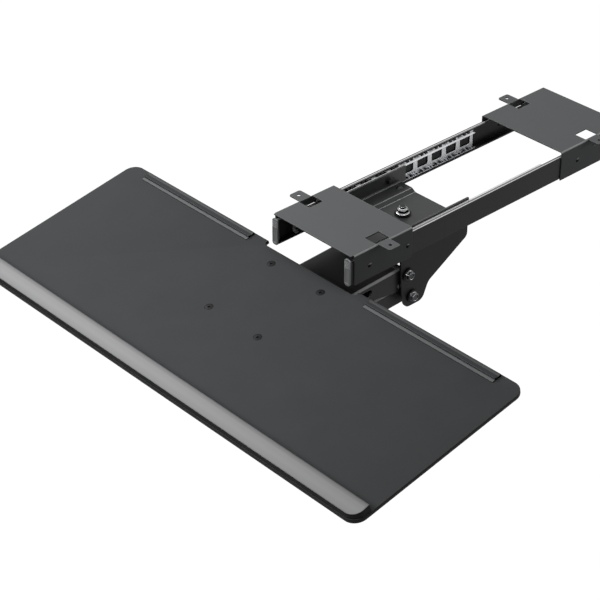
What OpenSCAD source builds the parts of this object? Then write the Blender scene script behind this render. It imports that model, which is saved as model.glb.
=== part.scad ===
// Keyboard tray that slides, swivels, lifts and tilts under a desk.
// Millimetres, +Z up, +Y away from the user. The origin is the centre of the four screw ears,
// on the face that meets the desk. The carriage rests at the front end of its track.

/* [Board] */
// Width of the board
board_w = 673; // [560:1:800]
// Depth of the board, back to front
board_d = 258; // [215:1:310]
// Thickness of the board
board_t = 5; // [4:0.5:8]
// Radius of the board's corners
board_corner_r = 16; // [10:1:40]
// Slope of the board, front edge lower, in degrees
board_slope = 10.1; // [4:0.1:12]
// Gap from the front of the track back to the board's rear edge
board_overlap = 1.8; // [0:0.1:6]
// Drop from the desk face to the top of the board's rear edge
board_drop = 43.5; // [43:0.1:60]
// Width of the shallow recess in the rear edge
recess_w = 156; // [100:1:180]
// Depth of the recess
recess_d = 7.5; // [3:0.5:12]

/* [Palm strip] */
// Depth of the strip, back to front
strip_d = 24; // [16:1:40]
// Height of the strip's back crest
strip_back_h = 10.5; // [6:0.5:16]
// Height of the strip's front wall
strip_front_h = 7; // [4:0.5:12]
// Margin of bare board round the strip
strip_margin = 1; // [0.5:0.5:3]

/* [Mouse stops] */
// Distance from the middle to the inner end of each stop
stop_inner_x = 101; // [95:1:130]
// Length of each stop
stop_l = 201; // [120:1:220]
// Height of each stop
stop_h = 3.4; // [2:0.1:3.5]
// Depth of the raised block
stop_block_d = 9.5; // [6:0.5:14]
// Depth of the thin skirt in front of the block
stop_skirt_d = 4.3; // [2:0.1:8]

/* [Desk brackets] */
// Distance between the screw holes, side to side
screw_pitch_x = 157; // [150:1:180]
// Distance from the front bracket's front edge to its screw holes
front_screw_inset = 51.5; // [40:0.1:60]
// Distance from the rear bracket's front edge to its screw holes
rear_screw_inset = 58.8; // [45:0.1:70]
// Diameter of the screw holes in the ears
screw_hole_d = 5; // [4:0.1:6.5]
// Radius of the ears' outer corners
ear_corner_r = 3; // [1:0.5:6]
// Width across the flanges
bracket_w = 136.6; // [132:0.1:142]
// Height of the flanges
flange_h = 40.4; // [39.5:0.1:42]
// Sheet thickness of the brackets
sheet_t = 1.5; // [1:0.1:2]
// Length of the front bracket
front_bracket_l = 98.3; // [80:0.1:110]
// Length of the rear bracket
rear_bracket_l = 117.1; // [100:0.1:130]

/* [Slides] */
// Length of the outer slide channels
slide_l = 475; // [430:1:560]
// Height of the slide channels
slide_h = 30; // [28:0.1:30.6]
// Depth of the slide channels, side to side
slide_d = 9.3; // [9:0.1:10.5]
// Width of the channels' top leg, which leaves the ball cage open beside it
slide_leg = 5.3; // [5:0.1:6]
// Diameter of the balls
ball_d = 4.4; // [4:0.1:4.4]
// Spacing of the cage windows
cage_pitch = 25.9; // [24:0.1:32]

/* [Carriage] */
// Travel of the carriage along the track
travel = 250; // [150:1:250]
// Length of the inner runners
runner_l = 174; // [150:1:230]
// Drop from the desk face to the pan's ledges
ledge_drop = 28.4; // [26:0.1:29]
// Depth of the lowered middle of the pan
joggle_d = 4; // [2:0.1:5]

/* [Lift arm] */
// Distance between the pivots of an arm
arm_l = 135; // [115:1:150]
// Width across the cheeks of the arm bracket
cheek_w = 106; // [100:1:110]
// Thickness of the arm plates
plate_t = 2.5; // [2:0.1:3]
// Diameter of the pivot pins
pin_d = 10; // [8:0.5:11]
// Wire diameter of the lift spring
wire_d = 3; // [2:0.1:3.4]

/* [Tilt knob] */
// Diameter of the knob
knob_d = 32; // [24:1:34]
// Length of the knob
knob_l = 22; // [16:1:30]

/* [Hidden] */
$fn = 48;
bracket_grey = [0.27, 0.28, 0.28];
rail_black = [0.08, 0.08, 0.09];
arm_black = [0.07, 0.07, 0.08];
pan_grey = [0.2, 0.21, 0.21];
board_grey = [0.22, 0.23, 0.23];
strip_grey = [0.4, 0.41, 0.41];
zinc = [0.75, 0.75, 0.77];
bright_steel = [0.82, 0.82, 0.84];
black_plastic = [0.12, 0.12, 0.12];
grey_plastic = [0.45, 0.45, 0.46];

running_gap = 0.08;
side_gap = 0.3;

// Places along the track, whose rear bracket ends just behind the slides
slide_end_inset = 5.6;
screw_pitch_y = slide_l + slide_end_inset - rear_bracket_l + rear_screw_inset - front_screw_inset;
front_bracket_y = -screw_pitch_y / 2 - front_screw_inset;
rear_bracket_y = screw_pitch_y / 2 - rear_screw_inset;
front_lip = 4;
bend_r = 2.5;
window_half = 11.2;
window_inner_x = 47.3;
ear_half = 9;
ear_reach = 8;
slot_ys = [0.6, 16.6];
slot_z = [-13.2, -10.9];
slot_notch = 3.8;
rivet_r = 2;
rivet_z = -22.6;
front_rivet_ys = [front_bracket_y + 28.5, front_bracket_y + 91];
rear_rivet_ys = [rear_bracket_y + 31.5, rear_bracket_y + 94];

// Slide section, drawn for the right side and mirrored for the left
slide_t = 1.2;
slide_top = -8.5;
slide_mid_z = slide_top - slide_h / 2;
slide_outer_x = bracket_w / 2 - sheet_t;
slide_inner_x = slide_outer_x - slide_d;
slide_y = front_bracket_y;
slide_lip = 2.2;
race_half = slide_h / 2 - slide_t;
runner_half = race_half - 3.7;
ball_row = (race_half + runner_half) / 2;
ball_x = slide_outer_x - 5;
groove_r = ball_d / 2 + 0.15;
runner_t = 1.3;
runner_x = slide_inner_x - 2.4;
runner_leg_x = slide_outer_x - 3.4;
runner_y = front_bracket_y + 32;

// End caps and rear stops
cap_t = 2.3;
cap_z = [-flange_h, -4.7];
cap_rib = 0.5;
cap_plug = [3.2, 5];
stop_block_l = 6;
stop_plate_t = 1.6;

// Ball cage, with as many windows as fit between the end cap and the cage's rear end
cage_t = 0.6;
cage_web_x = slide_outer_x - 2.8;
cage_leg_x = slide_inner_x + 1.1;
cage_top_leg_x = runner_x + 0.5;
cage_window = [18.5, 12.5];
cage_end = 5.3;
cage_rear_y = slide_y + slide_l - travel / 2 - stop_block_l - 1.3;
cage_room = cage_rear_y - slide_y - cap_plug[1] - cage_window[0] - 2 * cage_end;
cage_windows = floor(cage_room / cage_pitch) + 1;
cage_front_y = cage_rear_y - (cage_windows - 1) * cage_pitch - 2 * cage_end - cage_window[0];
ball_pair = 7.2;

// Carriage pan
pan_t = 2.2;
side_plate_t = 2.5;
side_plate_x = runner_x - side_plate_t;
side_plate_top = -9;
pan_front_y = runner_y + 6;
pan_rear_y = runner_y + runner_l - 6;
side_rear_y = pan_rear_y + 8.7;
joggle_x = [26.3, 32.6];
ledge_z = -ledge_drop;
floor_z = ledge_z - joggle_d;
side_bolt_ys = [runner_y + 14, runner_y + 68, runner_y + runner_l - 26];
side_bolt_z = -19;
side_bolt_r = 2.4;
ledge_bolt_x = 42;
ledge_bolt_ys = [pan_front_y + 10, pan_rear_y - 12.5];
pan_slot_y = pan_front_y + 36;
pan_slot = [8, 40];

// Swivel
swivel_y = front_bracket_y + 151;
swivel_r = 4;
turret_top = -flange_h - 1.6;
disc_r = 24;
disc_rim = 1.8;
washer_t = 0.7;
swivel_head_top = turret_top - plate_t - side_gap - washer_t;
swivel_nut_z = floor_z + 1.2;

// Arm bracket and pivots
cheek_x = cheek_w / 2;
cheek_front_y = front_bracket_y + 96.5;
cheek_rear_y = front_bracket_y + 211;
cheek_bottom = -124.2;
upper_pivot = [front_bracket_y + 108.4, -77];
lower_pivot = [front_bracket_y + 116.2, -110.5];
arm_slope = 2.3;
pin_r = pin_d / 2;
bush_r = pin_r + 2.5;
bush_t = 2;
bush_end = cheek_x + bush_t;
head_proud = 7;

// Arms, in a frame that starts at the rear pivot and runs down the arm along -Y
arm_x = cheek_x - plate_t - 2.5;
arm_top = 9.5;
link_x = arm_x - 6;
link_top = 11;
link_t = 2;
cross_pin_r = 3;
cross_pin = [-10.7, -13.3];

// Head and tilt joint, the latter placed under the board and well ahead of the head's pins
head_x = link_x - link_t - 1.5;
lug_x = head_x + plate_t + 1.5;
arm_run = [-arm_l * cos(arm_slope), -arm_l * sin(arm_slope)];
upper_head = upper_pivot + arm_run;
lower_head = lower_pivot + arm_run;
board_rear_y = front_bracket_y + board_overlap;
tray_plate_t = 2.5;
lug_outer_x = lug_x + tray_plate_t;
tilt_ahead = 48.4;
tilt_v = max(78, (board_rear_y - upper_head[0] + tilt_ahead) / cos(board_slope));
tilt_below = 9.95;
tilt_w = -board_t - tray_plate_t - tilt_below;
tilt_axis = board_point(tilt_v, tilt_w);
clamp_reach = 24;
clamp_axis = board_point(tilt_v, tilt_w - clamp_reach);
tilt_range = 15;
tilt_pin_r = 4;
clamp_r = 3;
clamp_end_angle = asin((clamp_r + side_gap) / clamp_reach) + 0.3;

// Lift spring, in the frame of the arm: its coil and the tips of its two legs
coil_r = pin_r + 6;
coil_turns = 8;
coil_pitch = wire_d + 0.55;
spring_gap = 0.3;
turn_steps = 14;
coil_steps = turn_steps * coil_turns;
leg_steps = 6;
arm_leg_tip = [-40, arm_top - plate_t - wire_d / 2 - spring_gap];

// Board fixings
tray_screw_x = 42.7;
tray_screw_vs = [tilt_v - 50, tilt_v + 49];
tray_screw_r = 2.4;
tray_head_r = 4.6;
tray_head_h = 2.6;
head_sink = 0.3;
screw_tip = 2.5;

// Turns a point of the YZ plane about the X axis
function turned(p, a) = [p[0] * cos(a) - p[1] * sin(a), p[0] * sin(a) + p[1] * cos(a)];

// Place of a point that is v in front of the board's rear edge and w above its top face
function board_point(v, w) = [board_rear_y, -board_drop] + turned([-v, w], board_slope);

function unit(v) = v / norm(v);

function on_circle(r, a) = r * [cos(a), sin(a)];

// Corner b of an outline, given as [x, y, radius], between its neighbours a and c, as an arc
function corner_arc(a, b, c) =
    let (p = [b[0], b[1]],
         u = unit([a[0], a[1]] - p),
         v = unit([c[0], c[1]] - p),
         half = acos(u * v) / 2,
         centre = p + unit(u + v) * b[2] / sin(half),
         first = p + u * b[2] / tan(half) - centre,
         last = p + v * b[2] / tan(half) - centre,
         start = atan2(first[1], first[0]),
         sweep = atan2(last[1], last[0]) - start,
         turn = sweep > 180 ? sweep - 360 : sweep < -180 ? sweep + 360 : sweep,
         steps = 8)
    b[2] == 0 ? [p] : [for (k = [0:steps]) centre + on_circle(b[2], start + turn * k / steps)];

// Outline with rounded corners from points given as [x, y, radius]
function outline(points) =
    let (n = len(points))
    [for (i = [0:n - 1]) each corner_arc(points[(i + n - 1) % n], points[i], points[(i + 1) % n])];

// Section drawn in X and Z, run along Y
module along_y(y0, y1) translate([0, y1, 0]) rotate([90, 0, 0]) linear_extrude(y1 - y0) children();

// Section drawn in Y and Z, run along X
module along_x(x0, x1) translate([x0, 0, 0]) rotate([90, 0, 90]) linear_extrude(x1 - x0) children();

// Round bar along X at p, a point of the YZ plane
module x_bar(p, r, x0, x1) translate([x0, p[0], p[1]]) rotate([0, 90, 0]) cylinder(r = r, h = x1 - x0);

// Hexagonal bar along X at p
module x_hex(p, flats, x0, x1)
    translate([x0, p[0], p[1]]) rotate([0, 90, 0]) cylinder(d = flats / cos(30), h = x1 - x0, $fn = 6);

module z_bar(p, r, z0, z1) translate([p[0], p[1], z0]) cylinder(r = r, h = z1 - z0);

module z_hex(p, flats, z0, z1)
    translate([p[0], p[1], z0]) cylinder(d = flats / cos(30), h = z1 - z0, $fn = 6);

module both_sides() {
    children();
    mirror([1, 0, 0]) children();
}

module on_left() mirror([1, 0, 0]) children();

module rounded_rect(w, d, r) {
    square([w - 2 * r, d], center = true);
    square([w, d - 2 * r], center = true);
    for (sx = [-1, 1], sy = [-1, 1])
        translate([sx * (w / 2 - r), sy * (d / 2 - r)]) circle(r);
}

module rounded_top(w, h, r) {
    translate([-w / 2, -h]) square([w, h - r]);
    translate([-w / 2 + r, -r]) square([w - 2 * r, r]);
    for (s = [-1, 1])
        translate([s * (w / 2 - r), -r]) circle(r);
}

// Bent sheet, open below, with its top face on zero
module channel(w, h, t, r) difference() {
    rounded_top(w, h, r);
    translate([0, -t]) rounded_top(w - 2 * t, h, r - t);
}

// Desk brackets: a plate with two flanges, and two screw ears beside their windows
module ear(screw_y) {
    root_x = bracket_w / 2 - bend_r;
    tip_x = screw_pitch_x / 2 + ear_reach;
    difference() {
        translate([0, screw_y, -sheet_t]) linear_extrude(sheet_t) polygon(outline([
            [root_x, -ear_half, 0],
            [tip_x, -ear_half, ear_corner_r],
            [tip_x, ear_half, ear_corner_r],
            [root_x, ear_half, 0]
        ]));
        z_bar([screw_pitch_x / 2, screw_y], screw_hole_d / 2, -sheet_t - 1, 1);
    }
}

module bracket(y0, y1, lip, screw_y, rivet_ys) {
    difference() {
        union() {
            along_y(y0 + lip, y1) channel(bracket_w, flange_h, sheet_t, bend_r);
            translate([-bracket_w / 2 + bend_r, y0, -sheet_t])
                cube([bracket_w - 2 * bend_r, lip + 1, sheet_t]);
        }
        both_sides() {
            translate([window_inner_x, screw_y - window_half, -sheet_t - 1])
                cube([bracket_w / 2 - bend_r - window_inner_x, 2 * window_half, sheet_t + 2]);
            flange_slot(screw_y, bracket_w / 2 - sheet_t - 1, slot_z[1]);
            for (y = rivet_ys)
                x_bar([y, rivet_z], rivet_r, bracket_w / 2 - sheet_t - 1, bracket_w / 2 + 1);
        }
    }
    both_sides() ear(screw_y);
}

// Slot below an ear: a slit in the flange, and a notch up to the top of the slide behind it
module flange_slot(screw_y, x, top)
    translate([x, screw_y + slot_ys[0], slot_z[0]])
        cube([bracket_w / 2 + 1 - x, slot_ys[1] - slot_ys[0], top - slot_z[0]]);

module front_bracket() color(bracket_grey)
    bracket(front_bracket_y, front_bracket_y + front_bracket_l, front_lip,
        -screw_pitch_y / 2, front_rivet_ys);

module rear_bracket() color(bracket_grey)
    bracket(rear_bracket_y, rear_bracket_y + rear_bracket_l, 0, screw_pitch_y / 2, rear_rivet_ys);

// Rivet through the flange and the slide channel, domed outside and flat inside
module rivet(y) {
    x_bar([y, rivet_z], rivet_r, slide_outer_x - slide_t, bracket_w / 2);
    x_bar([y, rivet_z], rivet_r + 1, slide_outer_x - slide_t - 0.4, slide_outer_x - slide_t);
    translate([bracket_w / 2, y, rivet_z]) rotate([0, 90, 0]) rotate_extrude() intersection() {
        translate([0, -3]) circle(4.2);
        square([4, 2]);
    }
}

module bracket_rivets() color(zinc)
    both_sides() for (y = concat(front_rivet_ys, rear_rivet_ys)) rivet(y);

// Slide channel with a short top leg, a lip on its lower leg and a ball race in each leg
module slide_section() difference() {
    translate([slide_inner_x, slide_mid_z - slide_h / 2]) square([slide_d, slide_h]);
    translate([slide_inner_x + slide_t, slide_mid_z - race_half])
        square([slide_d - 2 * slide_t, 2 * race_half]);
    translate([slide_inner_x - 1, slide_mid_z - slide_h / 2 + slide_lip]) square([slide_t + 2, slide_h]);
    translate([slide_inner_x - 1, slide_mid_z]) square([slide_d - slide_leg + 1, slide_h]);
    for (s = [-1, 1])
        translate([ball_x, slide_mid_z + s * ball_row]) circle(groove_r);
}

module slide() color(rail_black) difference() {
    along_y(slide_y, slide_y + slide_l) slide_section();
    for (y = concat(front_rivet_ys, rear_rivet_ys))
        x_bar([y, rivet_z], rivet_r, slide_outer_x - slide_t - 1, slide_outer_x + 1);
    for (y = [-screw_pitch_y / 2, screw_pitch_y / 2])
        flange_slot(y, slide_outer_x - slot_notch, slide_top + 1);
}

module right_slide() slide();
module left_slide() on_left() slide();

// Front end cap: a rounded bar with fine ribs and a plug in the channel
module end_cap() color(grey_plastic) {
    difference() {
        along_y(slide_y - cap_t, slide_y)
            translate([slide_outer_x - slide_d / 2, (cap_z[0] + cap_z[1]) / 2])
                rounded_rect(slide_d, cap_z[1] - cap_z[0], 3.5);
        for (k = [0:4])
            translate([slide_inner_x - 1, slide_y - cap_t - 1, cap_z[1] - 4 - k * 1.8])
                cube([slide_d + 2, 1 + cap_rib, 0.7]);
    }
    translate([slide_outer_x - slide_t - cap_plug[0], slide_y, slide_mid_z - race_half])
        cube([cap_plug[0], cap_plug[1], 2 * race_half]);
}

module right_end_cap() end_cap();
module left_end_cap() on_left() end_cap();

// Rear stop: a block that fills the back end of the channel
module rear_stop() color(black_plastic) {
    translate([slide_inner_x + slide_t, slide_y + slide_l - stop_block_l, slide_mid_z - race_half])
        cube([slide_d - 2 * slide_t, stop_block_l, 2 * race_half]);
    translate([slide_inner_x, slide_y + slide_l, slide_mid_z - slide_h / 2])
        cube([slide_d, stop_plate_t, slide_h]);
}

module right_rear_stop() rear_stop();
module left_rear_stop() on_left() rear_stop();

// Stamped ball cage: a web with windows, and two legs that hold a pair of balls at each pitch
function cage_ys() =
    [for (i = [0:cage_windows - 1]) cage_rear_y - cage_end - cage_window[0] / 2 - i * cage_pitch];

function cage_ball_ys() = [for (y = cage_ys(), s = [-1, 1]) y + s * ball_pair / 2];

module cage() color(zinc) difference() {
    along_y(cage_front_y, cage_rear_y) {
        translate([cage_web_x, slide_mid_z - ball_row]) square([cage_t, 2 * ball_row]);
        for (leg = [[cage_leg_x, -ball_row], [cage_top_leg_x, ball_row]])
            translate([leg[0], slide_mid_z + leg[1] - cage_t / 2])
                square([cage_web_x + cage_t - leg[0], cage_t]);
    }
    for (y = cage_ys())
        translate([cage_web_x - 1, y - cage_window[0] / 2, slide_mid_z - cage_window[1] / 2])
            cube([cage_t + 2, cage_window[0], cage_window[1]]);
    for (y = cage_ball_ys(), z = [slide_mid_z - ball_row, slide_mid_z + ball_row])
        z_bar([ball_x, y], ball_d / 2 + running_gap, z - 1, z + 1);
}

module balls() color(bright_steel)
    for (y = cage_ball_ys(), s = [-1, 1])
        translate([ball_x, y, slide_mid_z + s * ball_row]) sphere(d = ball_d);

module right_cage() cage();
module left_cage() on_left() cage();
module right_balls() balls();
module left_balls() on_left() balls();

// Inner runner: a channel that the side plate of the pan is bolted to
module runner() color(rail_black) difference() {
    along_y(runner_y, runner_y + runner_l) difference() {
        translate([runner_x, slide_mid_z - runner_half]) square([runner_leg_x - runner_x, 2 * runner_half]);
        translate([runner_x + runner_t, slide_mid_z - runner_half + runner_t])
            square([slide_d, 2 * (runner_half - runner_t)]);
        for (s = [-1, 1])
            translate([ball_x, slide_mid_z + s * ball_row]) circle(groove_r);
    }
    for (y = side_bolt_ys)
        x_bar([y, side_bolt_z], side_bolt_r, runner_x - 1, runner_x + runner_t + 1);
}

module right_runner() runner();
module left_runner() on_left() runner();

// Carriage pan: a lowered floor, two ledges and two upright side plates from one sheet
module pan_section() polygon(concat(pan_half(1), [for (p = reversed(pan_half(1))) [-p[0], p[1]]]));

function reversed(list) = [for (i = [len(list) - 1:-1:0]) list[i]];

function pan_half(s) =
    let (x = side_plate_x, w = side_plate_t, t = pan_t)
    reversed(concat(
        corner_arc([0, floor_z], [joggle_x[0], floor_z, 3], [joggle_x[1], ledge_z]),
        corner_arc([joggle_x[0], floor_z], [joggle_x[1], ledge_z, 3], [x, ledge_z]),
        corner_arc([joggle_x[1], ledge_z], [x, ledge_z, 2], [x, 0]),
        [[x, side_plate_top], [x + w, side_plate_top]],
        corner_arc([x + w, 0], [x + w, ledge_z - t, 4], [0, ledge_z - t]),
        corner_arc([x, ledge_z - t], [joggle_x[1] + 0.5, ledge_z - t, 3], [joggle_x[0] + 0.5, floor_z - t]),
        corner_arc([joggle_x[1] + 0.5, ledge_z - t], [joggle_x[0] + 0.5, floor_z - t, 3], [0, floor_z - t])
    ));

module carriage_pan() color(pan_grey) difference() {
    along_y(runner_y, side_rear_y) pan_section();
    // The floor and ledges stop short of the side plates at both ends
    for (span = [[runner_y - 1, pan_front_y], [pan_rear_y, side_rear_y + 1]])
        translate([-side_plate_x, span[0], floor_z - pan_t - 1])
            cube([2 * side_plate_x, span[1] - span[0], joggle_d + pan_t + 3]);
    both_sides() {
        for (y = side_bolt_ys)
            x_bar([y, side_bolt_z], side_bolt_r, side_plate_x - 1, runner_x + 1);
        for (y = ledge_bolt_ys)
            z_bar([ledge_bolt_x, y], side_bolt_r, ledge_z - pan_t - 1, ledge_z + 1);
        // Lightening slots under the front bracket
        translate([ledge_bolt_x, pan_slot_y, ledge_z - pan_t - 1])
            linear_extrude(pan_t + 2) rounded_rect(pan_slot[0], pan_slot[1], pan_slot[0] / 2 - 0.1);
    }
    z_bar([0, swivel_y], swivel_r, floor_z - pan_t - 1, floor_z + 1);
}

// Bolts of the runners, heads inwards, and of the ledges, heads up
module carriage_bolts() color(zinc) both_sides() {
    for (y = side_bolt_ys) {
        x_bar([y, side_bolt_z], side_bolt_r, side_plate_x, runner_x + 5.4);
        x_bar([y, side_bolt_z], 4.4, side_plate_x - 1, side_plate_x);
        x_hex([y, side_bolt_z], 7, side_plate_x - 4, side_plate_x - 1);
    }
    for (y = ledge_bolt_ys) {
        z_bar([ledge_bolt_x, y], side_bolt_r, ledge_z - pan_t - 4.6, ledge_z);
        translate([ledge_bolt_x, y, ledge_z]) rotate_extrude() intersection() {
            translate([0, -3]) circle(5.6);
            square([6, 3]);
        }
    }
}

module hex_nut(flats, h, bore_r) difference() {
    cylinder(d = flats / cos(30), h = h, $fn = 6);
    translate([0, 0, -1]) cylinder(r = bore_r, h = h + 2);
}

module carriage_nuts() color(zinc) both_sides() {
    for (y = side_bolt_ys)
        translate([runner_x + runner_t, y, side_bolt_z]) rotate([0, 90, 0]) hex_nut(7, 3, side_bolt_r);
    for (y = ledge_bolt_ys)
        translate([ledge_bolt_x, y, ledge_z - pan_t - 3.5]) hex_nut(8, 3.5, side_bolt_r);
}

// Swivel: bolt up through the arm bracket, disc and pan, with a flange nut on top
module swivel_bolt() color(bright_steel) {
    z_bar([0, swivel_y], swivel_r, swivel_head_top, swivel_nut_z + 9.6);
    z_bar([0, swivel_y], 9, swivel_head_top - 1.5, swivel_head_top);
    z_hex([0, swivel_y], 13, swivel_head_top - 6.5, swivel_head_top - 1.5);
}

module swivel_nut() color(bright_steel) translate([0, swivel_y, swivel_nut_z]) {
    difference() {
        union() {
            cylinder(r1 = 8.7, r2 = 7.2, h = 1.8);
            cylinder(d = 13 / cos(30), h = 8, $fn = 6);
        }
        translate([0, 0, -1]) cylinder(r = swivel_r, h = 12);
    }
}

module ring(r_out, r_in, z0, z1) translate([0, swivel_y, z0]) difference() {
    cylinder(r = r_out, h = z1 - z0);
    translate([0, 0, -1]) cylinder(r = r_in, h = z1 - z0 + 2);
}

module swivel_washers() color(black_plastic) {
    ring(10.5, swivel_r, floor_z, swivel_nut_z);
    ring(11, swivel_r, swivel_head_top, swivel_head_top + washer_t);
}

// Plastic disc that the arm bracket turns against, waisted between its two faces
module swivel_disc() color(black_plastic) translate([0, swivel_y, 0]) rotate_extrude() {
    z0 = turret_top + side_gap;
    z1 = floor_z - pan_t;
    waist = [disc_r - 5, disc_rim + 0.8];
    polygon([[swivel_r, z0], [disc_r, z0], [disc_r, z0 + disc_rim], [waist[0], z0 + waist[1]],
        [waist[0], z1 - waist[1]], [disc_r, z1 - disc_rim], [disc_r, z1], [swivel_r, z1]]);
}

// Arm bracket: a top plate with two cheeks cut to one outline
function cheek_outline() = outline([
    [cheek_front_y - 1, turret_top, 0],
    [cheek_front_y + 1.7, -100, 14],
    [cheek_front_y + 7.9, cheek_bottom, 11],
    [cheek_front_y + 38.4, cheek_bottom, 11],
    [cheek_front_y + 47.9, -102, 14],
    [cheek_rear_y, -64.3, 8],
    [cheek_rear_y, turret_top, 0]
]);

module arm_bracket() color(arm_black) difference() {
    intersection() {
        along_y(cheek_front_y - 2, cheek_rear_y + 1) translate([0, turret_top])
            channel(cheek_w, turret_top - cheek_bottom + 1, plate_t, 5);
        along_x(-cheek_x - 1, cheek_x + 1) polygon(cheek_outline());
    }
    z_bar([0, swivel_y], swivel_r + running_gap, turret_top - plate_t - 1, turret_top + 1);
    // Stop slot and lightening hole in the top plate
    translate([0, swivel_y + 36, turret_top - plate_t - 1])
        linear_extrude(plate_t + 2) rounded_rect(50, 12, 5.9);
    for (p = [upper_pivot, lower_pivot])
        x_bar(p, pin_r, -cheek_x - 1, cheek_x + 1);
}

// Pivot pins: hex head on the right, nut on the left
module pivot_pin(p) color(bright_steel) {
    x_bar(p, pin_r, -cheek_x - head_proud - 1.5, bush_end);
    x_bar(p, bush_r, bush_end, bush_end + 1);
    x_hex(p, 14, bush_end + 1, cheek_x + head_proud);
}

module upper_pivot_pin() pivot_pin(upper_pivot);
module lower_pivot_pin() pivot_pin(lower_pivot);

module tube_x(p, r_out, r_in, x0, x1) difference() {
    x_bar(p, r_out, x0, x1);
    x_bar(p, r_in, x0 - 1, x1 + 1);
}

// Dark washers outside the cheeks and spacers between the cheeks and the arms
module pivot_bushes() color(black_plastic) both_sides() {
    for (p = [upper_pivot, lower_pivot])
        tube_x(p, bush_r + 1, pin_r, cheek_x, bush_end);
    tube_x(upper_pivot, bush_r, pin_r, arm_x + side_gap, cheek_x - plate_t);
    tube_x(lower_pivot, bush_r, pin_r, link_x + side_gap, cheek_x - plate_t);
}

module pivot_nuts() color(bright_steel)
    for (p = [upper_pivot, lower_pivot])
        translate([-bush_end - (head_proud - bush_t), p[0], p[1]]) rotate([0, 90, 0])
            hex_nut(15, head_proud - bush_t, pin_r);

// Frame of an arm: its rear pivot at the origin and the arm along -Y
module on_arm(pivot) translate([0, pivot[0], pivot[1]]) rotate([arm_slope, 0, 0]) children();

// Arm: a channel open below, deeper at the rear, with its top web cut back from both pivots
module arm_channel(half_w, t, bend, top, web, side) difference() {
    intersection() {
        along_y(-arm_l - 30, 30) translate([0, top]) channel(2 * half_w, 60, t, bend);
        along_x(-half_w - 1, half_w + 1) polygon(side);
    }
    for (span = [[-arm_l - 40, -arm_l + web[0]], [-web[1], 40]])
        translate([-half_w + t, span[0], top - 2 * bend])
            cube([2 * (half_w - t), span[1] - span[0], 3 * bend]);
}

module upper_arm() color(arm_black) on_arm(upper_pivot) difference() {
    arm_channel(arm_x, plate_t, 4, arm_top, [20.4, 12.6], outline([
        [10, arm_top, 8],
        [10, -15, 8],
        [-3, -21.3, 8],
        [-24, -20, 12],
        [-52, -14.5, 30],
        [-arm_l - 10, -10, 9.5],
        [-arm_l - 10, arm_top, 9]
    ]));
    for (p = [[0, 0], [-arm_l, 0]])
        x_bar(p, pin_r + running_gap, -arm_x - 1, arm_x + 1);
    x_bar(cross_pin, cross_pin_r, -arm_x - 1, arm_x + 1);
    // Weight-saving slots in the side plates
    along_x(-arm_x - 1, arm_x + 1) translate([-arm_l / 2 - 10, -1]) rounded_rect(44, 9, 4.4);
}

module cross_pin() color(bright_steel) on_arm(upper_pivot)
    x_bar(cross_pin, cross_pin_r, -arm_x - 1.8, arm_x + 1.8);

module lower_link() color(arm_black) on_arm(lower_pivot) difference() {
    arm_channel(link_x, link_t, 4, link_top, [20, 16], outline([
        [11, link_top, 9],
        [11, -11.5, 10],
        [-arm_l - 10, -10.5, 9.5],
        [-arm_l - 10, link_top, 9]
    ]));
    x_bar([0, 0], pin_r + running_gap, -link_x - 1, link_x + 1);
    x_bar([-arm_l, 0], pin_r + 0.4, -link_x - 1, link_x + 1);
}

// Lift spring: a torsion spring round the upper pivot, one leg under the arm's web and the
// other under the top plate of the arm bracket
bracket_leg_tip = turned([40, turret_top - plate_t - wire_d / 2 - spring_gap - upper_pivot[1]], -arm_slope);
coil_start = leg_angle(arm_leg_tip, 1);
coil_end = leg_angle(bracket_leg_tip, -1) + 360 * (coil_turns + 1);

// Angle at which a straight leg to a tip leaves the coil, on one side or the other
function leg_angle(tip, side) = atan2(tip[1], tip[0]) + side * acos(coil_r / norm(tip));

function coil_point(k) =
    let (share = k / coil_steps,
         p = on_circle(coil_r, coil_start + (coil_end - coil_start) * share))
    [(share - 0.5) * coil_pitch * (coil_end - coil_start) / 360, p[0], p[1]];

// Evenly spaced points from one point towards another, without the latter
function steps_to(a, b, n) = [for (k = [0:n - 1]) a + (b - a) * k / n];

function spring_route() =
    let (arm_end = coil_point(0),
         bracket_end = coil_point(coil_steps),
         arm_tip = [arm_end[0], arm_leg_tip[0], arm_leg_tip[1]],
         bracket_tip = [bracket_end[0], bracket_leg_tip[0], bracket_leg_tip[1]])
    concat(
        steps_to(arm_tip, arm_end, leg_steps),
        [for (k = [0:coil_steps]) coil_point(k)],
        reversed(steps_to(bracket_tip, bracket_end, leg_steps)));

// Least gap of a wire to itself, between points at least half a turn apart along its route
function least_gap(route, d, apart) =
    let (last = len(route) - 1)
    min([for (i = [0:last - apart], j = [i + apart:last]) norm(route[i] - route[j]) - d]);

echo(spring_least_gap = least_gap(spring_route(), wire_d, turn_steps / 2));

// Wire along a route: a ring of corners square to the route at each of its points
module wire(route, r, sides) {
    n = len(route);
    function heading(i) = unit(route[min(i + 1, n - 1)] - route[max(i - 1, 0)]);
    function corner(i, j) =
        let (across = unit(cross(heading(i), cross([1, 0, 0], heading(i)))),
             up = cross(across, heading(i)),
             a = 360 * j / sides)
        route[i] + r * (cos(a) * across + sin(a) * up);
    polyhedron(
        points = [for (i = [0:n - 1], j = [0:sides - 1]) corner(i, j)],
        faces = concat(
            [[for (j = [0:sides - 1]) j]],
            [for (i = [0:n - 2], j = [0:sides - 1]) let (k = (j + 1) % sides)
                [i * sides + j, (i + 1) * sides + j, (i + 1) * sides + k, i * sides + k]],
            [[for (j = [sides - 1:-1:0]) (n - 1) * sides + j]]
        )
    );
}

module lift_spring() color(zinc) on_arm(upper_pivot) wire(spring_route(), wire_d / 2, 8);

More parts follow.
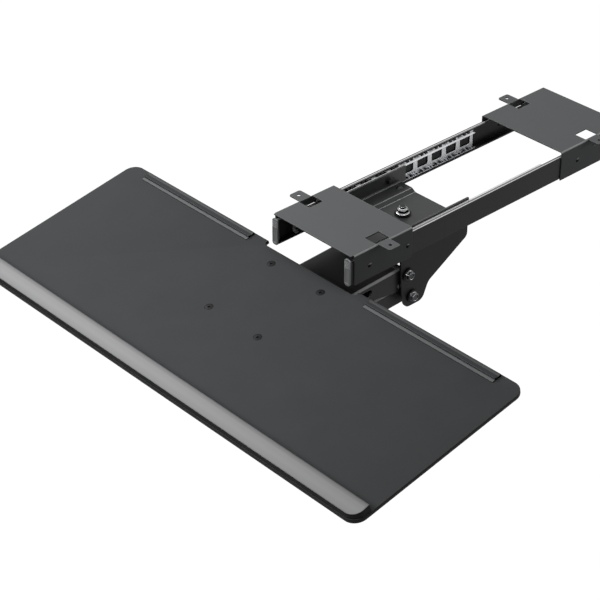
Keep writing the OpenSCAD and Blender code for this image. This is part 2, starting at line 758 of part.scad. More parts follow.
// Head: a bracket bent round the front, hung on both arms, with the tilt joint in front
function head_outline() = outline([
    [tilt_axis[0] - 9, tilt_axis[1] + 7.6, 7.5],
    [clamp_axis[0] - 13.2, clamp_axis[1] - 10, 8],
    [lower_head[0] - 12, lower_head[1] - 11, 10],
    [lower_head[0] + 12, lower_head[1] - 11, 10],
    [upper_head[0] + 12.4, upper_head[1] + 9, 8]
]);

module head_bracket() color(arm_black) difference() {
    intersection() {
        along_x(-head_x - 1, head_x + 1) polygon(head_outline());
        translate([0, clamp_axis[0] - 13.2, -200]) linear_extrude(200)
            mirror([0, 1]) channel(2 * head_x, 90, plate_t, 5);
    }
    for (p = [upper_head, lower_head])
        x_bar(p, pin_r, -head_x - 1, head_x + 1);
    x_bar(tilt_axis, tilt_pin_r, -head_x - 1, head_x + 1);
    x_bar(clamp_axis, clamp_r, -head_x - 1, head_x + 1);
}

// Head pins: a flat head on each side of the arm they carry
module head_pin(p, outer_x) color(bright_steel) {
    x_bar(p, pin_r, -outer_x - side_gap, outer_x + side_gap);
    both_sides() x_bar(p, bush_r, outer_x + side_gap, outer_x + side_gap + 2.2);
}

module upper_head_pin() head_pin(upper_head, arm_x);
module lower_head_pin() head_pin(lower_head, link_x);

module tilt_pin() color(bright_steel) {
    x_bar(tilt_axis, tilt_pin_r, -lug_outer_x - side_gap, lug_outer_x + side_gap);
    both_sides() x_bar(tilt_axis, 6.5, lug_outer_x + side_gap, lug_outer_x + side_gap + 1.6);
}

module tilt_washers() color(black_plastic) both_sides() {
    tube_x(tilt_axis, 7.5, tilt_pin_r, head_x, lug_x - side_gap);
    tube_x(clamp_axis, 7.5, clamp_r, head_x, lug_x - side_gap);
}

module clamp_bolt() color(bright_steel) {
    x_bar(clamp_axis, clamp_r, -lug_outer_x - side_gap, lug_outer_x + knob_l - 4);
    x_bar(clamp_axis, 6, -lug_outer_x - side_gap - 1, -lug_outer_x - side_gap);
    x_hex(clamp_axis, 10, -lug_outer_x - side_gap - 5, -lug_outer_x - side_gap - 1);
}

// Frame of the board: the top of its rear edge at the origin, the board along -Y
module on_board() translate([0, board_rear_y, -board_drop]) rotate([board_slope, 0, 0]) children();

module board_shape(inset)
    translate([0, -board_d / 2])
        rounded_rect(board_w - 2 * inset, board_d - 2 * inset, board_corner_r - inset);

module at_tray_screws()
    for (sx = [-1, 1], v = tray_screw_vs) translate([sx * tray_screw_x, -v, 0]) children();

module board() color(board_grey) on_board() difference() {
    translate([0, 0, -board_t]) linear_extrude(board_t) difference() {
        board_shape(0);
        rounded_rect(recess_w, 2 * recess_d, 5);
    }
    at_tray_screws() {
        translate([0, 0, -board_t - 1]) cylinder(r = tray_screw_r + 0.2, h = board_t + 2);
        translate([0, 0, -tray_head_h - head_sink])
            cylinder(r1 = tray_screw_r + 0.2, r2 = tray_head_r + 0.2, h = tray_head_h);
        translate([0, 0, -head_sink]) cylinder(r = tray_head_r + 0.2, h = 1);
    }
}

// Palm strip: a soft bar with its crest at the back, trimmed to the board's front corners
module palm_strip() color(strip_grey) on_board() {
    front = -board_d + strip_margin;
    intersection() {
        along_x(-board_w / 2, board_w / 2) polygon(outline([
            [front, 0, 0],
            [front, strip_front_h, 2],
            [front + strip_d - 1.4, strip_back_h, 3.6],
            [front + strip_d, 0, 0]
        ]));
        linear_extrude(strip_back_h + 1) board_shape(strip_margin);
    }
}

// Mouse stop along the rear edge: a grooved block with a thin skirt and slanted ends
module mouse_stop() color(black_plastic) on_board() {
    back = -2.5;
    front = back - stop_block_d;
    groove_y = back - stop_block_d * 0.4;
    slant = 4;
    intersection() {
        along_x(stop_inner_x, stop_inner_x + stop_l) difference() {
            polygon(outline([
                [back, 0, 0],
                [front - stop_skirt_d, 0, 0],
                [front - stop_skirt_d, 1, 0.4],
                [front, 1, 0.3],
                [front, stop_h, 1],
                [back, stop_h, 1]
            ]));
            translate([groove_y, stop_h]) circle(0.5);
        }
        linear_extrude(stop_h + 1) polygon([
            [stop_inner_x, back],
            [stop_inner_x + slant, front - stop_skirt_d],
            [stop_inner_x + stop_l - slant, front - stop_skirt_d],
            [stop_inner_x + stop_l, back]
        ]);
    }
}

module right_mouse_stop() mouse_stop();
module left_mouse_stop() on_left() mouse_stop();

// Tray plate under the board, with two lugs that hang on the tilt pin and carry a clamp slot
module tray_plate() color(arm_black) on_board() difference() {
    union() {
        translate([0, -tilt_v + 2, -board_t - tray_plate_t]) linear_extrude(tray_plate_t)
            rounded_rect(116, 124, 10);
        both_sides() along_x(lug_x, lug_outer_x) translate([-tilt_v, tilt_w]) polygon(outline([
            [-13, tilt_below + 1, 0],
            [-10.5, -clamp_reach - 8, 8],
            [15, -clamp_reach - 8, 8],
            [15, tilt_below + 1, 0]
        ]));
    }
    at_tray_screws()
        translate([0, 0, -board_t - tray_plate_t - 1]) cylinder(r = tray_screw_r, h = tray_plate_t + 2);
    x_bar([-tilt_v, tilt_w], tilt_pin_r + running_gap, -lug_outer_x - 1, lug_outer_x + 1);
    // Clamp slot, an arc about the tilt pin that lets the lug turn past the clamp bolt
    translate([0, -tilt_v, tilt_w]) along_x(-lug_outer_x - 1, lug_outer_x + 1) intersection() {
        difference() {
            circle(clamp_reach + clamp_r + side_gap);
            circle(clamp_reach - clamp_r - side_gap);
        }
        polygon([
            [0, 0],
            turned([0, -60], -clamp_end_angle),
            turned([0, -60], tilt_range + clamp_end_angle)
        ]);
    }
    // Lightening slots between the screws
    for (s = [-1, 1])
        translate([s * 22, -tilt_v + 2, -board_t - tray_plate_t - 1])
            linear_extrude(tray_plate_t + 2) rounded_rect(14, 70, 6.9);
}

module tray_screws() color(zinc) on_board() at_tray_screws() {
    difference() {
        translate([0, 0, -tray_head_h - head_sink])
            cylinder(r1 = tray_screw_r, r2 = tray_head_r, h = tray_head_h);
        translate([0, 0, -1.5]) cylinder(d = 4, h = 3, $fn = 6);
    }
    translate([0, 0, -board_t - tray_plate_t - screw_tip])
        cylinder(r = tray_screw_r, h = board_t + tray_plate_t + screw_tip - tray_head_h - head_sink);
}

// Knob with eight flutes and a domed end, on the clamp bolt
module tilt_knob() color(black_plastic) {
    x0 = lug_outer_x + side_gap;
    knob_r = knob_d / 2;
    translate([x0, clamp_axis[0], clamp_axis[1]]) rotate([0, 90, 0]) difference() {
        rotate_extrude() polygon(concat(
            [[0, 0], [8, 0], [8, 4]],
            corner_arc([8, 4], [knob_r, 4, 2], [knob_r, knob_l]),
            corner_arc([knob_r, 4], [knob_r - 1.5, knob_l, 4], [0, knob_l]),
            [[0, knob_l]]));
        for (k = [0:7])
            rotate(45 * k) translate([knob_r + 3.2, 0, -1]) cylinder(r = 5, h = knob_l + 2);
        translate([0, 0, -1]) cylinder(r = clamp_r + running_gap, h = knob_l - 2);
        translate([0, 0, -1]) cylinder(r = 5, h = 9);
    }
}

// Threaded insert pressed into the knob
module knob_insert() color([0.8, 0.66, 0.35])
    tube_x(clamp_axis, 5, clamp_r + running_gap, lug_outer_x + side_gap, lug_outer_x + side_gap + 8);

front_bracket();
rear_bracket();
left_slide();
right_slide();
left_end_cap();
right_end_cap();
left_rear_stop();
right_rear_stop();
bracket_rivets();
left_cage();
left_balls();
right_cage();
right_balls();
carriage_pan();
left_runner();
right_runner();
carriage_bolts();
carriage_nuts();
swivel_bolt();
swivel_nut();
swivel_washers();
swivel_disc();
arm_bracket();
upper_pivot_pin();
lower_pivot_pin();
pivot_bushes();
pivot_nuts();
upper_arm();
cross_pin();
lift_spring();
lower_link();
head_bracket();
upper_head_pin();
lower_head_pin();
tilt_pin();
tilt_washers();
clamp_bolt();
board();
palm_strip();
left_mouse_stop();
right_mouse_stop();
tray_plate();
tray_screws();
tilt_knob();
knob_insert();
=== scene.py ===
"""Looks of a keyboard tray that slides, swivels, lifts and tilts under a desk.

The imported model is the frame. Sheet-metal parts keep their own shapes and get their coats here. The
board, palm strip, mouse stops, screws, cages, end caps, swivel nut, pivots, lift spring and tilt knob
are modelled again in fine detail.
"""

import logging
import math
from dataclasses import dataclass, field
from enum import Enum
from typing import Callable, Iterable, Sequence

import bpy
from mathutils import Matrix, Vector

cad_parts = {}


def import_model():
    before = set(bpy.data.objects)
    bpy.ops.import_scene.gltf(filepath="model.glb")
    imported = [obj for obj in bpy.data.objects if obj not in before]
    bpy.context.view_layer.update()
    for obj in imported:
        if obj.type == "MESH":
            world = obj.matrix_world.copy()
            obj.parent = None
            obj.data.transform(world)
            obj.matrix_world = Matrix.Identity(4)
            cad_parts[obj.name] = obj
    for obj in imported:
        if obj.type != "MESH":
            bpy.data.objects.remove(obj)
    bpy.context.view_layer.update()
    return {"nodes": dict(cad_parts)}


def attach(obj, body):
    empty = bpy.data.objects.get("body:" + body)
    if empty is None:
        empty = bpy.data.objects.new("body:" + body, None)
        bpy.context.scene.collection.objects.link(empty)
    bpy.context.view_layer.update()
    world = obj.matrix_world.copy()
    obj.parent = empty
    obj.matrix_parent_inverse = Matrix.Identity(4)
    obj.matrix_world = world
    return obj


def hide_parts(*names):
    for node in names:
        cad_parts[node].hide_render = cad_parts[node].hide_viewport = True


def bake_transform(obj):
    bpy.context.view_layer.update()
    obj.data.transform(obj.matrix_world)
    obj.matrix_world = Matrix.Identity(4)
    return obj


LOG = logging.getLogger("keyboard_tray")
MM = 0.001
TINY = 1e-6
NEAR = 1e-5
RIGHT = Vector((1, 0, 0))
UP = Vector((0, 0, 1))
MIRROR = Matrix.Scale(-1, 4, (1, 0, 0))

Colour = tuple[float, float, float]
Strips = tuple[tuple[float, Colour], ...]


def tone(red: float, green: float, blue: float) -> Colour:
    """Linear colour of a tone written from 0 to 255.

    Args:
        red: Red, from 0 to 255.
        green: Green, from 0 to 255.
        blue: Blue, from 0 to 255.

    Returns:
        The same colour in linear light, from 0 to 1.
    """
    def linear(value: float) -> float:
        """Linear light of one channel."""
        share = value / 255
        return share / 12.92 if share <= 0.04045 else ((share + 0.055) / 1.055) ** 2.4

    return linear(red), linear(green), linear(blue)


def painted_light_strips(*steps: tuple[float, float]) -> Strips:
    """Grey strips of painted highlight and shade, from places in millimetres and tones from 0 to 255."""
    return tuple((place * MM, tone(level, level, level + 1)) for place, level in steps)


# Noise of the fine texture, the stretch of brushed metal along the track, and the strength of the relief
GRAIN_DETAIL = 3.0
GRAIN_ROUGHNESS = 0.6
BRUSH_STRETCH = (1.0, 0.06, 1.0)
RELIEF = 0.9

# Noise of the slow mottling, the part of it from darkest to lightest, and how far the roughness varies
MOTTLE_SCALE = 22.0
MOTTLE_DETAIL = 5.0
MOTTLE_RANGE = (0.3, 0.7)
ROUGHNESS_SPREAD = 0.1

# Height of the normal over which a face looks up and takes the painted strips, heights at which the painted
# highlight on a bend is gone and at which it is full, and the tone of that painted highlight
UPWARD = 0.6
PAINTED_HIGHLIGHT_UNTIL = (0.982, 0.93)
PAINTED_BEND_HIGHLIGHT = tone(205, 206, 207)


def computed(tree: bpy.types.NodeTree, operation: str, first: bpy.types.NodeSocket,
             second: bpy.types.NodeSocket | float | None = None) -> bpy.types.NodeSocket:
    """Adds a Math node.

    Args:
        tree: The nodes it joins.
        operation: Blender's name of the operation.
        first: Socket of the first value.
        second: Socket of the second value, or a number.

    Returns:
        Socket with the result.
    """
    node = tree.nodes.new("ShaderNodeMath")
    node.operation = operation
    tree.links.new(first, node.inputs[0])
    if isinstance(second, bpy.types.NodeSocket):
        tree.links.new(second, node.inputs[1])
    elif second is not None:
        node.inputs[1].default_value = second
    return node.outputs[0]


def stretched(tree: bpy.types.NodeTree, value: bpy.types.NodeSocket, source: Sequence[float],
              target: Sequence[float] = (0.0, 1.0)) -> bpy.types.NodeSocket:
    """Maps one range onto another, without going past its ends.

    Args:
        tree: The nodes it joins.
        value: Socket of the value.
        source: Ends of the range of the value.
        target: What the two ends become.

    Returns:
        Socket with the result.
    """
    node = tree.nodes.new("ShaderNodeMapRange")
    ends = ("From Min", "From Max", "To Min", "To Max")
    for end, number in zip(ends, (*source, *target)):
        node.inputs[end].default_value = number
    tree.links.new(value, node.inputs["Value"])
    return node.outputs["Result"]


def mixed(tree: bpy.types.NodeTree, share: bpy.types.NodeSocket, under: bpy.types.NodeSocket,
          over: bpy.types.NodeSocket | Colour) -> bpy.types.NodeSocket:
    """Lays one colour over another.

    Args:
        tree: The nodes it joins.
        share: Socket with how much the upper colour covers.
        under: Socket of the lower colour.
        over: Socket of the upper colour, or the colour itself.

    Returns:
        Socket with the mixed colour.
    """
    node = tree.nodes.new("ShaderNodeMix")
    node.data_type = "RGBA"
    share_socket, under_socket, over_socket = (node.inputs[i] for i in (0, 6, 7))
    tree.links.new(share, share_socket)
    tree.links.new(under, under_socket)
    if isinstance(over, bpy.types.NodeSocket):
        tree.links.new(over, over_socket)
    else:
        over_socket.default_value = (*over, 1.0)
    return node.outputs[2]


class Grain(Enum):
    """Kinds of fine surface texture."""

    POWDER = "powder"
    PEBBLE = "pebble"
    BRUSHED = "brushed"
    MOULDED = "moulded"


class Across(Enum):
    """Axis across a finish's painted strips of highlight and shade, by its name in Blender."""

    TRACK = "X"
    BOARD = "Y"


@dataclass(frozen=True)
class Finish:
    """One surface finish, made as a procedural material.

    Attributes:
        name: Name of the finish.
        colour: Base colour in linear light.
        roughness: Middle of the roughness range.
        metallic: 1 for bare metal.
        grain: Kind of fine texture.
        grain_size: Size of one grain, in metres.
        grain_depth: Depth of the grain, in metres.
        mottle: How much the colour varies, as a share.
        gloss: Specular level of the coat.
        ease: Radius that sharp edges are softened by, in metres.
        painted_highlight: How far the rounded edges that look up are painted with the pale highlight of a
            bend.
        painted_highlight_from: Height of the normal at which the painted highlight starts, and at which it
            is full.
        painted_light_strips: Painted highlight and shade on the faces that look up, in strips: the distance
            from the
        middle at which each tone is reached, and the tone.
        painted_light_above: Height over which the painted strips lie.
        painted_light_across: Axis across the painted strips.
    """

    name: str
    colour: Colour
    roughness: float
    metallic: float = 0.0
    grain: Grain = Grain.POWDER
    grain_size: float = 0.8 * MM
    grain_depth: float = 0.02 * MM
    mottle: float = 0.06
    gloss: float = 0.1
    ease: float = 0.5 * MM
    painted_highlight: float = 0.0
    painted_highlight_from: tuple[float, float] = (0.25, 0.55)
    painted_light_strips: Strips = ()
    painted_light_above: float = -1.0
    painted_light_across: Across = Across.TRACK

    def material(self) -> bpy.types.Material:
        """Makes the material, or returns the one already made.

        Returns:
            The node material of this finish.
        """
        name = f"{self.name}_finish"
        found = bpy.data.materials.get(name)
        if found is not None:
            return found
        material = bpy.data.materials.new(name)
        material.use_nodes = True
        tree = material.node_tree
        shader = tree.nodes["Principled BSDF"]
        shader.inputs["Metallic"].default_value = self.metallic
        shader.inputs["Specular IOR Level"].default_value = self.gloss
        place = tree.nodes.new("ShaderNodeTexCoord")
        eased = self._bump(tree, shader, self._fine_texture(tree, place))
        self._mottling(tree, shader, place, eased)
        return material

    def _fine_texture(self, tree: bpy.types.NodeTree, place: bpy.types.Node) -> bpy.types.NodeSocket:
        """Adds the grain.

        Args:
            tree: The material's nodes.
            place: Texture coordinates.

        Returns:
            Socket with the height of the grain, from 0 to 1.
        """
        source = place.outputs["Object"]
        if self.grain is Grain.BRUSHED:
            stretch = tree.nodes.new("ShaderNodeMapping")
            stretch.inputs["Scale"].default_value = BRUSH_STRETCH
            tree.links.new(source, stretch.inputs["Vector"])
            source = stretch.outputs["Vector"]
        if self.grain is Grain.PEBBLE:
            cells = tree.nodes.new("ShaderNodeTexVoronoi")
            cells.feature = "SMOOTH_F1"
            cells.inputs["Scale"].default_value = 1 / self.grain_size
            tree.links.new(source, cells.inputs["Vector"])
            return cells.outputs["Distance"]
        noise = tree.nodes.new("ShaderNodeTexNoise")
        noise.inputs["Scale"].default_value = 1 / self.grain_size
        noise.inputs["Detail"].default_value = GRAIN_DETAIL
        noise.inputs["Roughness"].default_value = GRAIN_ROUGHNESS
        tree.links.new(source, noise.inputs["Vector"])
        return noise.outputs["Fac"]

    def _bump(self, tree: bpy.types.NodeTree, shader: bpy.types.Node,
              fine: bpy.types.NodeSocket) -> bpy.types.NodeSocket:
        """Turns the grain into relief on softened edges.

        Args:
            tree: The material's nodes.
            shader: The surface shader.
            fine: Height of the grain.

        Returns:
            Socket with the normal of the softened edges, without the grain.
        """
        bump = tree.nodes.new("ShaderNodeBump")
        bump.inputs["Strength"].default_value = RELIEF
        bump.inputs["Distance"].default_value = self.grain_depth
        tree.links.new(fine, bump.inputs["Height"])
        eased = tree.nodes.new("ShaderNodeBevel")
        eased.samples = 4
        eased.inputs["Radius"].default_value = self.ease
        tree.links.new(eased.outputs["Normal"], bump.inputs["Normal"])
        tree.links.new(bump.outputs["Normal"], shader.inputs["Normal"])
        return eased.outputs["Normal"]

    def _mottling(self, tree: bpy.types.NodeTree, shader: bpy.types.Node, place: bpy.types.Node,
                  eased: bpy.types.NodeSocket) -> None:
        """Varies the colour and the roughness slowly over the surface, under the painted strips and the
        painted highlight of bends.

        Args:
            tree: The material's nodes.
            shader: The surface shader.
            place: Texture coordinates.
            eased: Normal of the softened edges.
        """
        slow = tree.nodes.new("ShaderNodeTexNoise")
        slow.inputs["Scale"].default_value = MOTTLE_SCALE
        slow.inputs["Detail"].default_value = MOTTLE_DETAIL
        tree.links.new(place.outputs["Object"], slow.inputs["Vector"])
        ramp = tree.nodes.new("ShaderNodeValToRGB")
        dark, light = ramp.color_ramp.elements
        dark.position, light.position = MOTTLE_RANGE
        dark.color = (*(c * (1 - self.mottle) for c in self.colour), 1.0)
        light.color = (*(min(c * (1 + self.mottle), 1.0) for c in self.colour), 1.0)
        tree.links.new(slow.outputs["Fac"], ramp.inputs["Fac"])
        colour = ramp.outputs["Color"]
        if self.painted_light_strips:
            colour = self._painted_light_striped(tree, place, colour)
        if self.painted_highlight:
            colour = self._painted_edge_highlight(tree, eased, colour)
        tree.links.new(colour, shader.inputs["Base Color"])
        smoothest = self.roughness * (1 - ROUGHNESS_SPREAD)
        roughest = min(self.roughness * (1 + ROUGHNESS_SPREAD), 1.0)
        rough = stretched(tree, slow.outputs["Fac"], (0.0, 1.0), (smoothest, roughest))
        tree.links.new(rough, shader.inputs["Roughness"])

    def _painted_edge_highlight(self, tree: bpy.types.NodeTree, eased: bpy.types.NodeSocket,
                       colour: bpy.types.NodeSocket) -> bpy.types.NodeSocket:
        """Paints a pale highlight on the rounded edges and bends that look up.

        Args:
            tree: The material's nodes.
            eased: Normal of the softened edges.
            colour: Colour of the faces.

        Returns:
            Socket with the mixed colour.
        """
        split = tree.nodes.new("ShaderNodeSeparateXYZ")
        tree.links.new(eased, split.inputs["Vector"])
        height = split.outputs["Z"]
        off_walls = stretched(tree, height, self.painted_highlight_from)
        off_tops = stretched(tree, height, PAINTED_HIGHLIGHT_UNTIL, (0.0, self.painted_highlight))
        return mixed(tree, computed(tree, "MULTIPLY", off_walls, off_tops), colour, PAINTED_BEND_HIGHLIGHT)

    def _painted_light_striped(self, tree: bpy.types.NodeTree, place: bpy.types.Node,
                 colour: bpy.types.NodeSocket) -> bpy.types.NodeSocket:
        """Paints strips of highlight and shade on the faces that look up: the light and shade of a formed
        race, a rolled crest or a flat plate's top.

        Args:
            tree: The material's nodes.
            place: Texture coordinates.
            colour: Colour of the other faces.

        Returns:
            Socket with the mixed colour.
        """
        where, facing = (tree.nodes.new("ShaderNodeSeparateXYZ") for _ in range(2))
        tree.links.new(place.outputs["Object"], where.inputs["Vector"])
        tree.links.new(place.outputs["Normal"], facing.inputs["Vector"])
        aside = computed(tree, "ABSOLUTE", where.outputs[self.painted_light_across.value])
        first, last = self.painted_light_strips[0][0], self.painted_light_strips[-1][0]
        ramp = tree.nodes.new("ShaderNodeValToRGB")
        ramp.color_ramp.interpolation = "EASE"
        steps = ramp.color_ramp.elements
        for _ in self.painted_light_strips[2:]:
            steps.new(0.5)
        for step, (start, shade) in zip(steps, self.painted_light_strips):
            step.position = (start - first) / (last - first)
            step.color = (*shade, 1.0)
        tree.links.new(stretched(tree, aside, (first, last)), ramp.inputs["Fac"])
        upward = computed(tree, "GREATER_THAN", facing.outputs["Z"], UPWARD)
        high = computed(tree, "GREATER_THAN", where.outputs["Z"], self.painted_light_above)
        return mixed(tree, computed(tree, "MULTIPLY", upward, high), colour, ramp.outputs["Color"])


# Painted light on each slide's formed race: bright strips of painted highlight between dark strips of
# painted shade.
RACE_PAINTED_LIGHT = painted_light_strips((61.5, 50), (62.0, 54), (62.4, 150), (62.9, 150), (63.3, 66), (63.7, 66), (64.1, 240),
                     (65.0, 240), (65.4, 40), (66.8, 30))
# Painted light on the palm strip's crest: a painted highlight on its top, falling to painted shade on its
# rear roll.
CREST_PAINTED_LIGHT = painted_light_strips((466.0, 84), (468.0, 106), (470.5, 134), (474.0, 153), (480.0, 157), (487.0, 150),
                      (489.4, 116))
# Painted sheen on the top faces of the bracket plates, lighter than their sides in the same coat.
PLATE_PAINTED_SHEEN = ((0.0, tone(96, 97, 98)), (100 * MM, tone(96, 97, 98)))

# Finishes with a shine paint a pale highlight on their rounded edges and bends that look up.
LAMINATE = Finish("board_laminate", tone(68, 69, 70), 0.85, grain_size=0.7 * MM, grain_depth=0.05 * MM,
                  mottle=0.05)
# Painted shade on the board's edge walls, far darker than the top of the same laminate.
LAMINATE_EDGE_PAINTED_SHADE = Finish("board_edge_painted_shade", tone(14, 14, 15), 0.5, grain_size=0.6 * MM)
# The top faces take the painted crest highlight and shade.
VINYL = Finish("strip_vinyl", tone(26, 26, 27), 0.7, grain=Grain.PEBBLE, grain_size=1.1 * MM,
               grain_depth=0.12 * MM, mottle=0.05, painted_light_strips=CREST_PAINTED_LIGHT, painted_light_across=Across.BOARD)
STOP_PLASTIC = Finish("stop_plastic", tone(60, 61, 62), 0.8, grain=Grain.MOULDED, grain_size=0.7 * MM,
                      ease=0.6 * MM, painted_highlight=0.2)
# Its top faces take the painted sheen of the plates.
BRACKET_COAT = Finish("bracket_coat", tone(64, 65, 66), 0.65, grain_size=0.7 * MM, mottle=0.04,
                      ease=0.9 * MM, painted_highlight=0.45, painted_light_strips=PLATE_PAINTED_SHEEN)
# The top of each slide's race takes the painted strips of highlight and shade.
RAIL_COAT = Finish("rail_coat", tone(43, 43, 45), 0.4, grain_size=1 * MM, ease=0.3 * MM,
                   painted_light_strips=RACE_PAINTED_LIGHT, painted_light_above=-10 * MM)
DARK_COAT = Finish("dark_coat", tone(9, 9, 10), 0.5, grain_size=1 * MM, gloss=0.03, ease=0.7 * MM, painted_highlight=0.5)
# The pan's joggle bends get a painted highlight.
PAN_COAT = Finish("pan_coat", tone(47, 48, 49), 0.36, grain_size=0.9 * MM, gloss=0.3, ease=1.2 * MM,
                  painted_highlight=0.8, painted_highlight_from=(0.87, 0.9))
ARM_COAT = Finish("arm_coat", tone(26, 26, 27), 0.38, grain_size=1 * MM, ease=0.9 * MM, painted_highlight=0.5)
# A lighter copy of the arm coat: painted light on the upper arm and lower link, which share the black coat
# of the other arm parts.
LINK_COAT_PAINTED_LIGHT = Finish("link_coat_painted_light", tone(52, 52, 54), 0.42, grain_size=1 * MM, ease=0.9 * MM, painted_highlight=0.6)
BLACK_PLASTIC = Finish("black_plastic", tone(20, 20, 20), 0.45, grain=Grain.MOULDED)
CAP_PLASTIC = Finish("cap_plastic", tone(124, 125, 126), 0.5, grain=Grain.MOULDED, grain_size=0.6 * MM,
                     painted_highlight=0.5)
SCREW_BLACK = Finish("screw_black", tone(22, 22, 24), 0.5, grain=Grain.MOULDED, grain_size=0.9 * MM)
KNOB_PLASTIC = Finish("knob_plastic", tone(26, 26, 27), 0.5, grain=Grain.MOULDED, grain_size=1.2 * MM,
                      grain_depth=0.04 * MM)
ZINC = Finish("zinc_plate", tone(222, 223, 226), 0.42, metallic=0.5, grain=Grain.BRUSHED,
              grain_size=0.6 * MM, grain_depth=0.008 * MM, ease=0.2 * MM)
STEEL = Finish("bright_steel", tone(190, 191, 194), 0.22, metallic=1.0, grain=Grain.BRUSHED,
               grain_size=0.5 * MM, grain_depth=0.006 * MM, ease=0.2 * MM)
# Steel balls painted dark: painted shade on the balls, which sit in shade under the race.
BALL_STEEL_PAINTED_SHADE = Finish("ball_steel_painted_shade", tone(44, 44, 46), 0.2, metallic=1.0, grain=Grain.MOULDED,
                    grain_size=0.5 * MM, grain_depth=0.002 * MM, ease=0.1 * MM)
# The nuts' and pivots' rounded edges get a strong painted highlight, the glint of their facets.
BLACK_OXIDE = Finish("black_oxide", tone(52, 53, 56), 0.28, metallic=1.0, grain=Grain.MOULDED,
                     grain_size=0.9 * MM, grain_depth=0.01 * MM, mottle=0.2, ease=0.7 * MM, painted_highlight=0.9)
BOLT_BLACK = Finish("bolt_black", tone(30, 30, 32), 0.34, metallic=0.3, grain=Grain.MOULDED,
                    grain_size=0.9 * MM, grain_depth=0.01 * MM, gloss=0.5)
BRASS = Finish("insert_brass", tone(222, 190, 110), 0.3, metallic=1.0, grain=Grain.BRUSHED)

COATS: dict[str, Finish] = {
    "front_bracket": BRACKET_COAT, "rear_bracket": BRACKET_COAT,
    "left_slide": RAIL_COAT, "right_slide": RAIL_COAT, "left_runner": DARK_COAT, "right_runner": DARK_COAT,
    "left_rear_stop": BLACK_PLASTIC, "right_rear_stop": BLACK_PLASTIC, "bracket_rivets": DARK_COAT,
    "left_balls": BALL_STEEL_PAINTED_SHADE, "right_balls": BALL_STEEL_PAINTED_SHADE,
    "carriage_pan": PAN_COAT, "carriage_bolts": BOLT_BLACK, "carriage_nuts": BOLT_BLACK,
    "swivel_bolt": BLACK_OXIDE, "swivel_washers": BLACK_PLASTIC, "swivel_disc": BLACK_PLASTIC,
    "arm_bracket": ARM_COAT, "pivot_bushes": BLACK_PLASTIC,
    "upper_arm": LINK_COAT_PAINTED_LIGHT, "cross_pin": STEEL, "lower_link": LINK_COAT_PAINTED_LIGHT,
    "head_bracket": ARM_COAT, "upper_head_pin": STEEL, "lower_head_pin": STEEL, "tilt_pin": STEEL,
    "tilt_washers": BLACK_PLASTIC, "clamp_bolt": STEEL, "tray_plate": ARM_COAT, "knob_insert": BRASS,
}


def clear_selection() -> None:
    """Leaves nothing selected, in object mode."""
    if bpy.context.mode != "OBJECT":
        bpy.ops.object.mode_set(mode="OBJECT")
    bpy.ops.object.select_all(action="DESELECT")


def take(piece: bpy.types.Object) -> None:
    """Makes one piece the only selected and the active one.

    Args:
        piece: The object.
    """
    clear_selection()
    piece.select_set(True)
    bpy.context.view_layer.objects.active = piece


def named(piece: bpy.types.Object, name: str) -> bpy.types.Object:
    """Names an object and its mesh alike."""
    piece.name = piece.data.name = name
    return piece


def apply_modifier(piece: bpy.types.Object, kind: str, **settings: object) -> None:
    """Adds a modifier, sets it up and applies it.

    Args:
        piece: The object.
        kind: Blender's name of the modifier type.
        **settings: Values set on the modifier.
    """
    take(piece)
    modifier = piece.modifiers.new(kind.lower(), kind)
    for key, value in settings.items():
        setattr(modifier, key, value)
    bpy.ops.object.modifier_apply(modifier=modifier.name)


def soften(piece: bpy.types.Object, width: float, segments: int, angle: float) -> None:
    """Bevels all edges of a piece that are sharper than an angle.

    Args:
        piece: The object.
        width: Width of the bevel.
        segments: Number of steps round it.
        angle: The angle, in degrees.
    """
    apply_modifier(piece, "BEVEL", width=width, segments=segments, limit_method="ANGLE",
                   angle_limit=math.radians(angle))


def along(axis: str, least: float = 1 * MM) -> Callable[[Vector, Vector], bool]:
    """Test for edges that run along an axis by more than a length.

    Args:
        axis: The axis, "x", "y" or "z".
        least: The length.

    Returns:
        The test on the two ends of an edge.
    """
    return lambda a, b: abs(getattr(a, axis) - getattr(b, axis)) > least


def at_end(direction: Vector, reach: float) -> Callable[[Vector, Vector], bool]:
    """Test for edges on the end face of a bar.

    Args:
        direction: Unit vector along the bar, towards that end.
        reach: Distance of the end from the origin, along the vector.

    Returns:
        The test on the two ends of an edge.
    """
    return lambda a, b: min(direction.dot(a), direction.dot(b)) > reach - NEAR


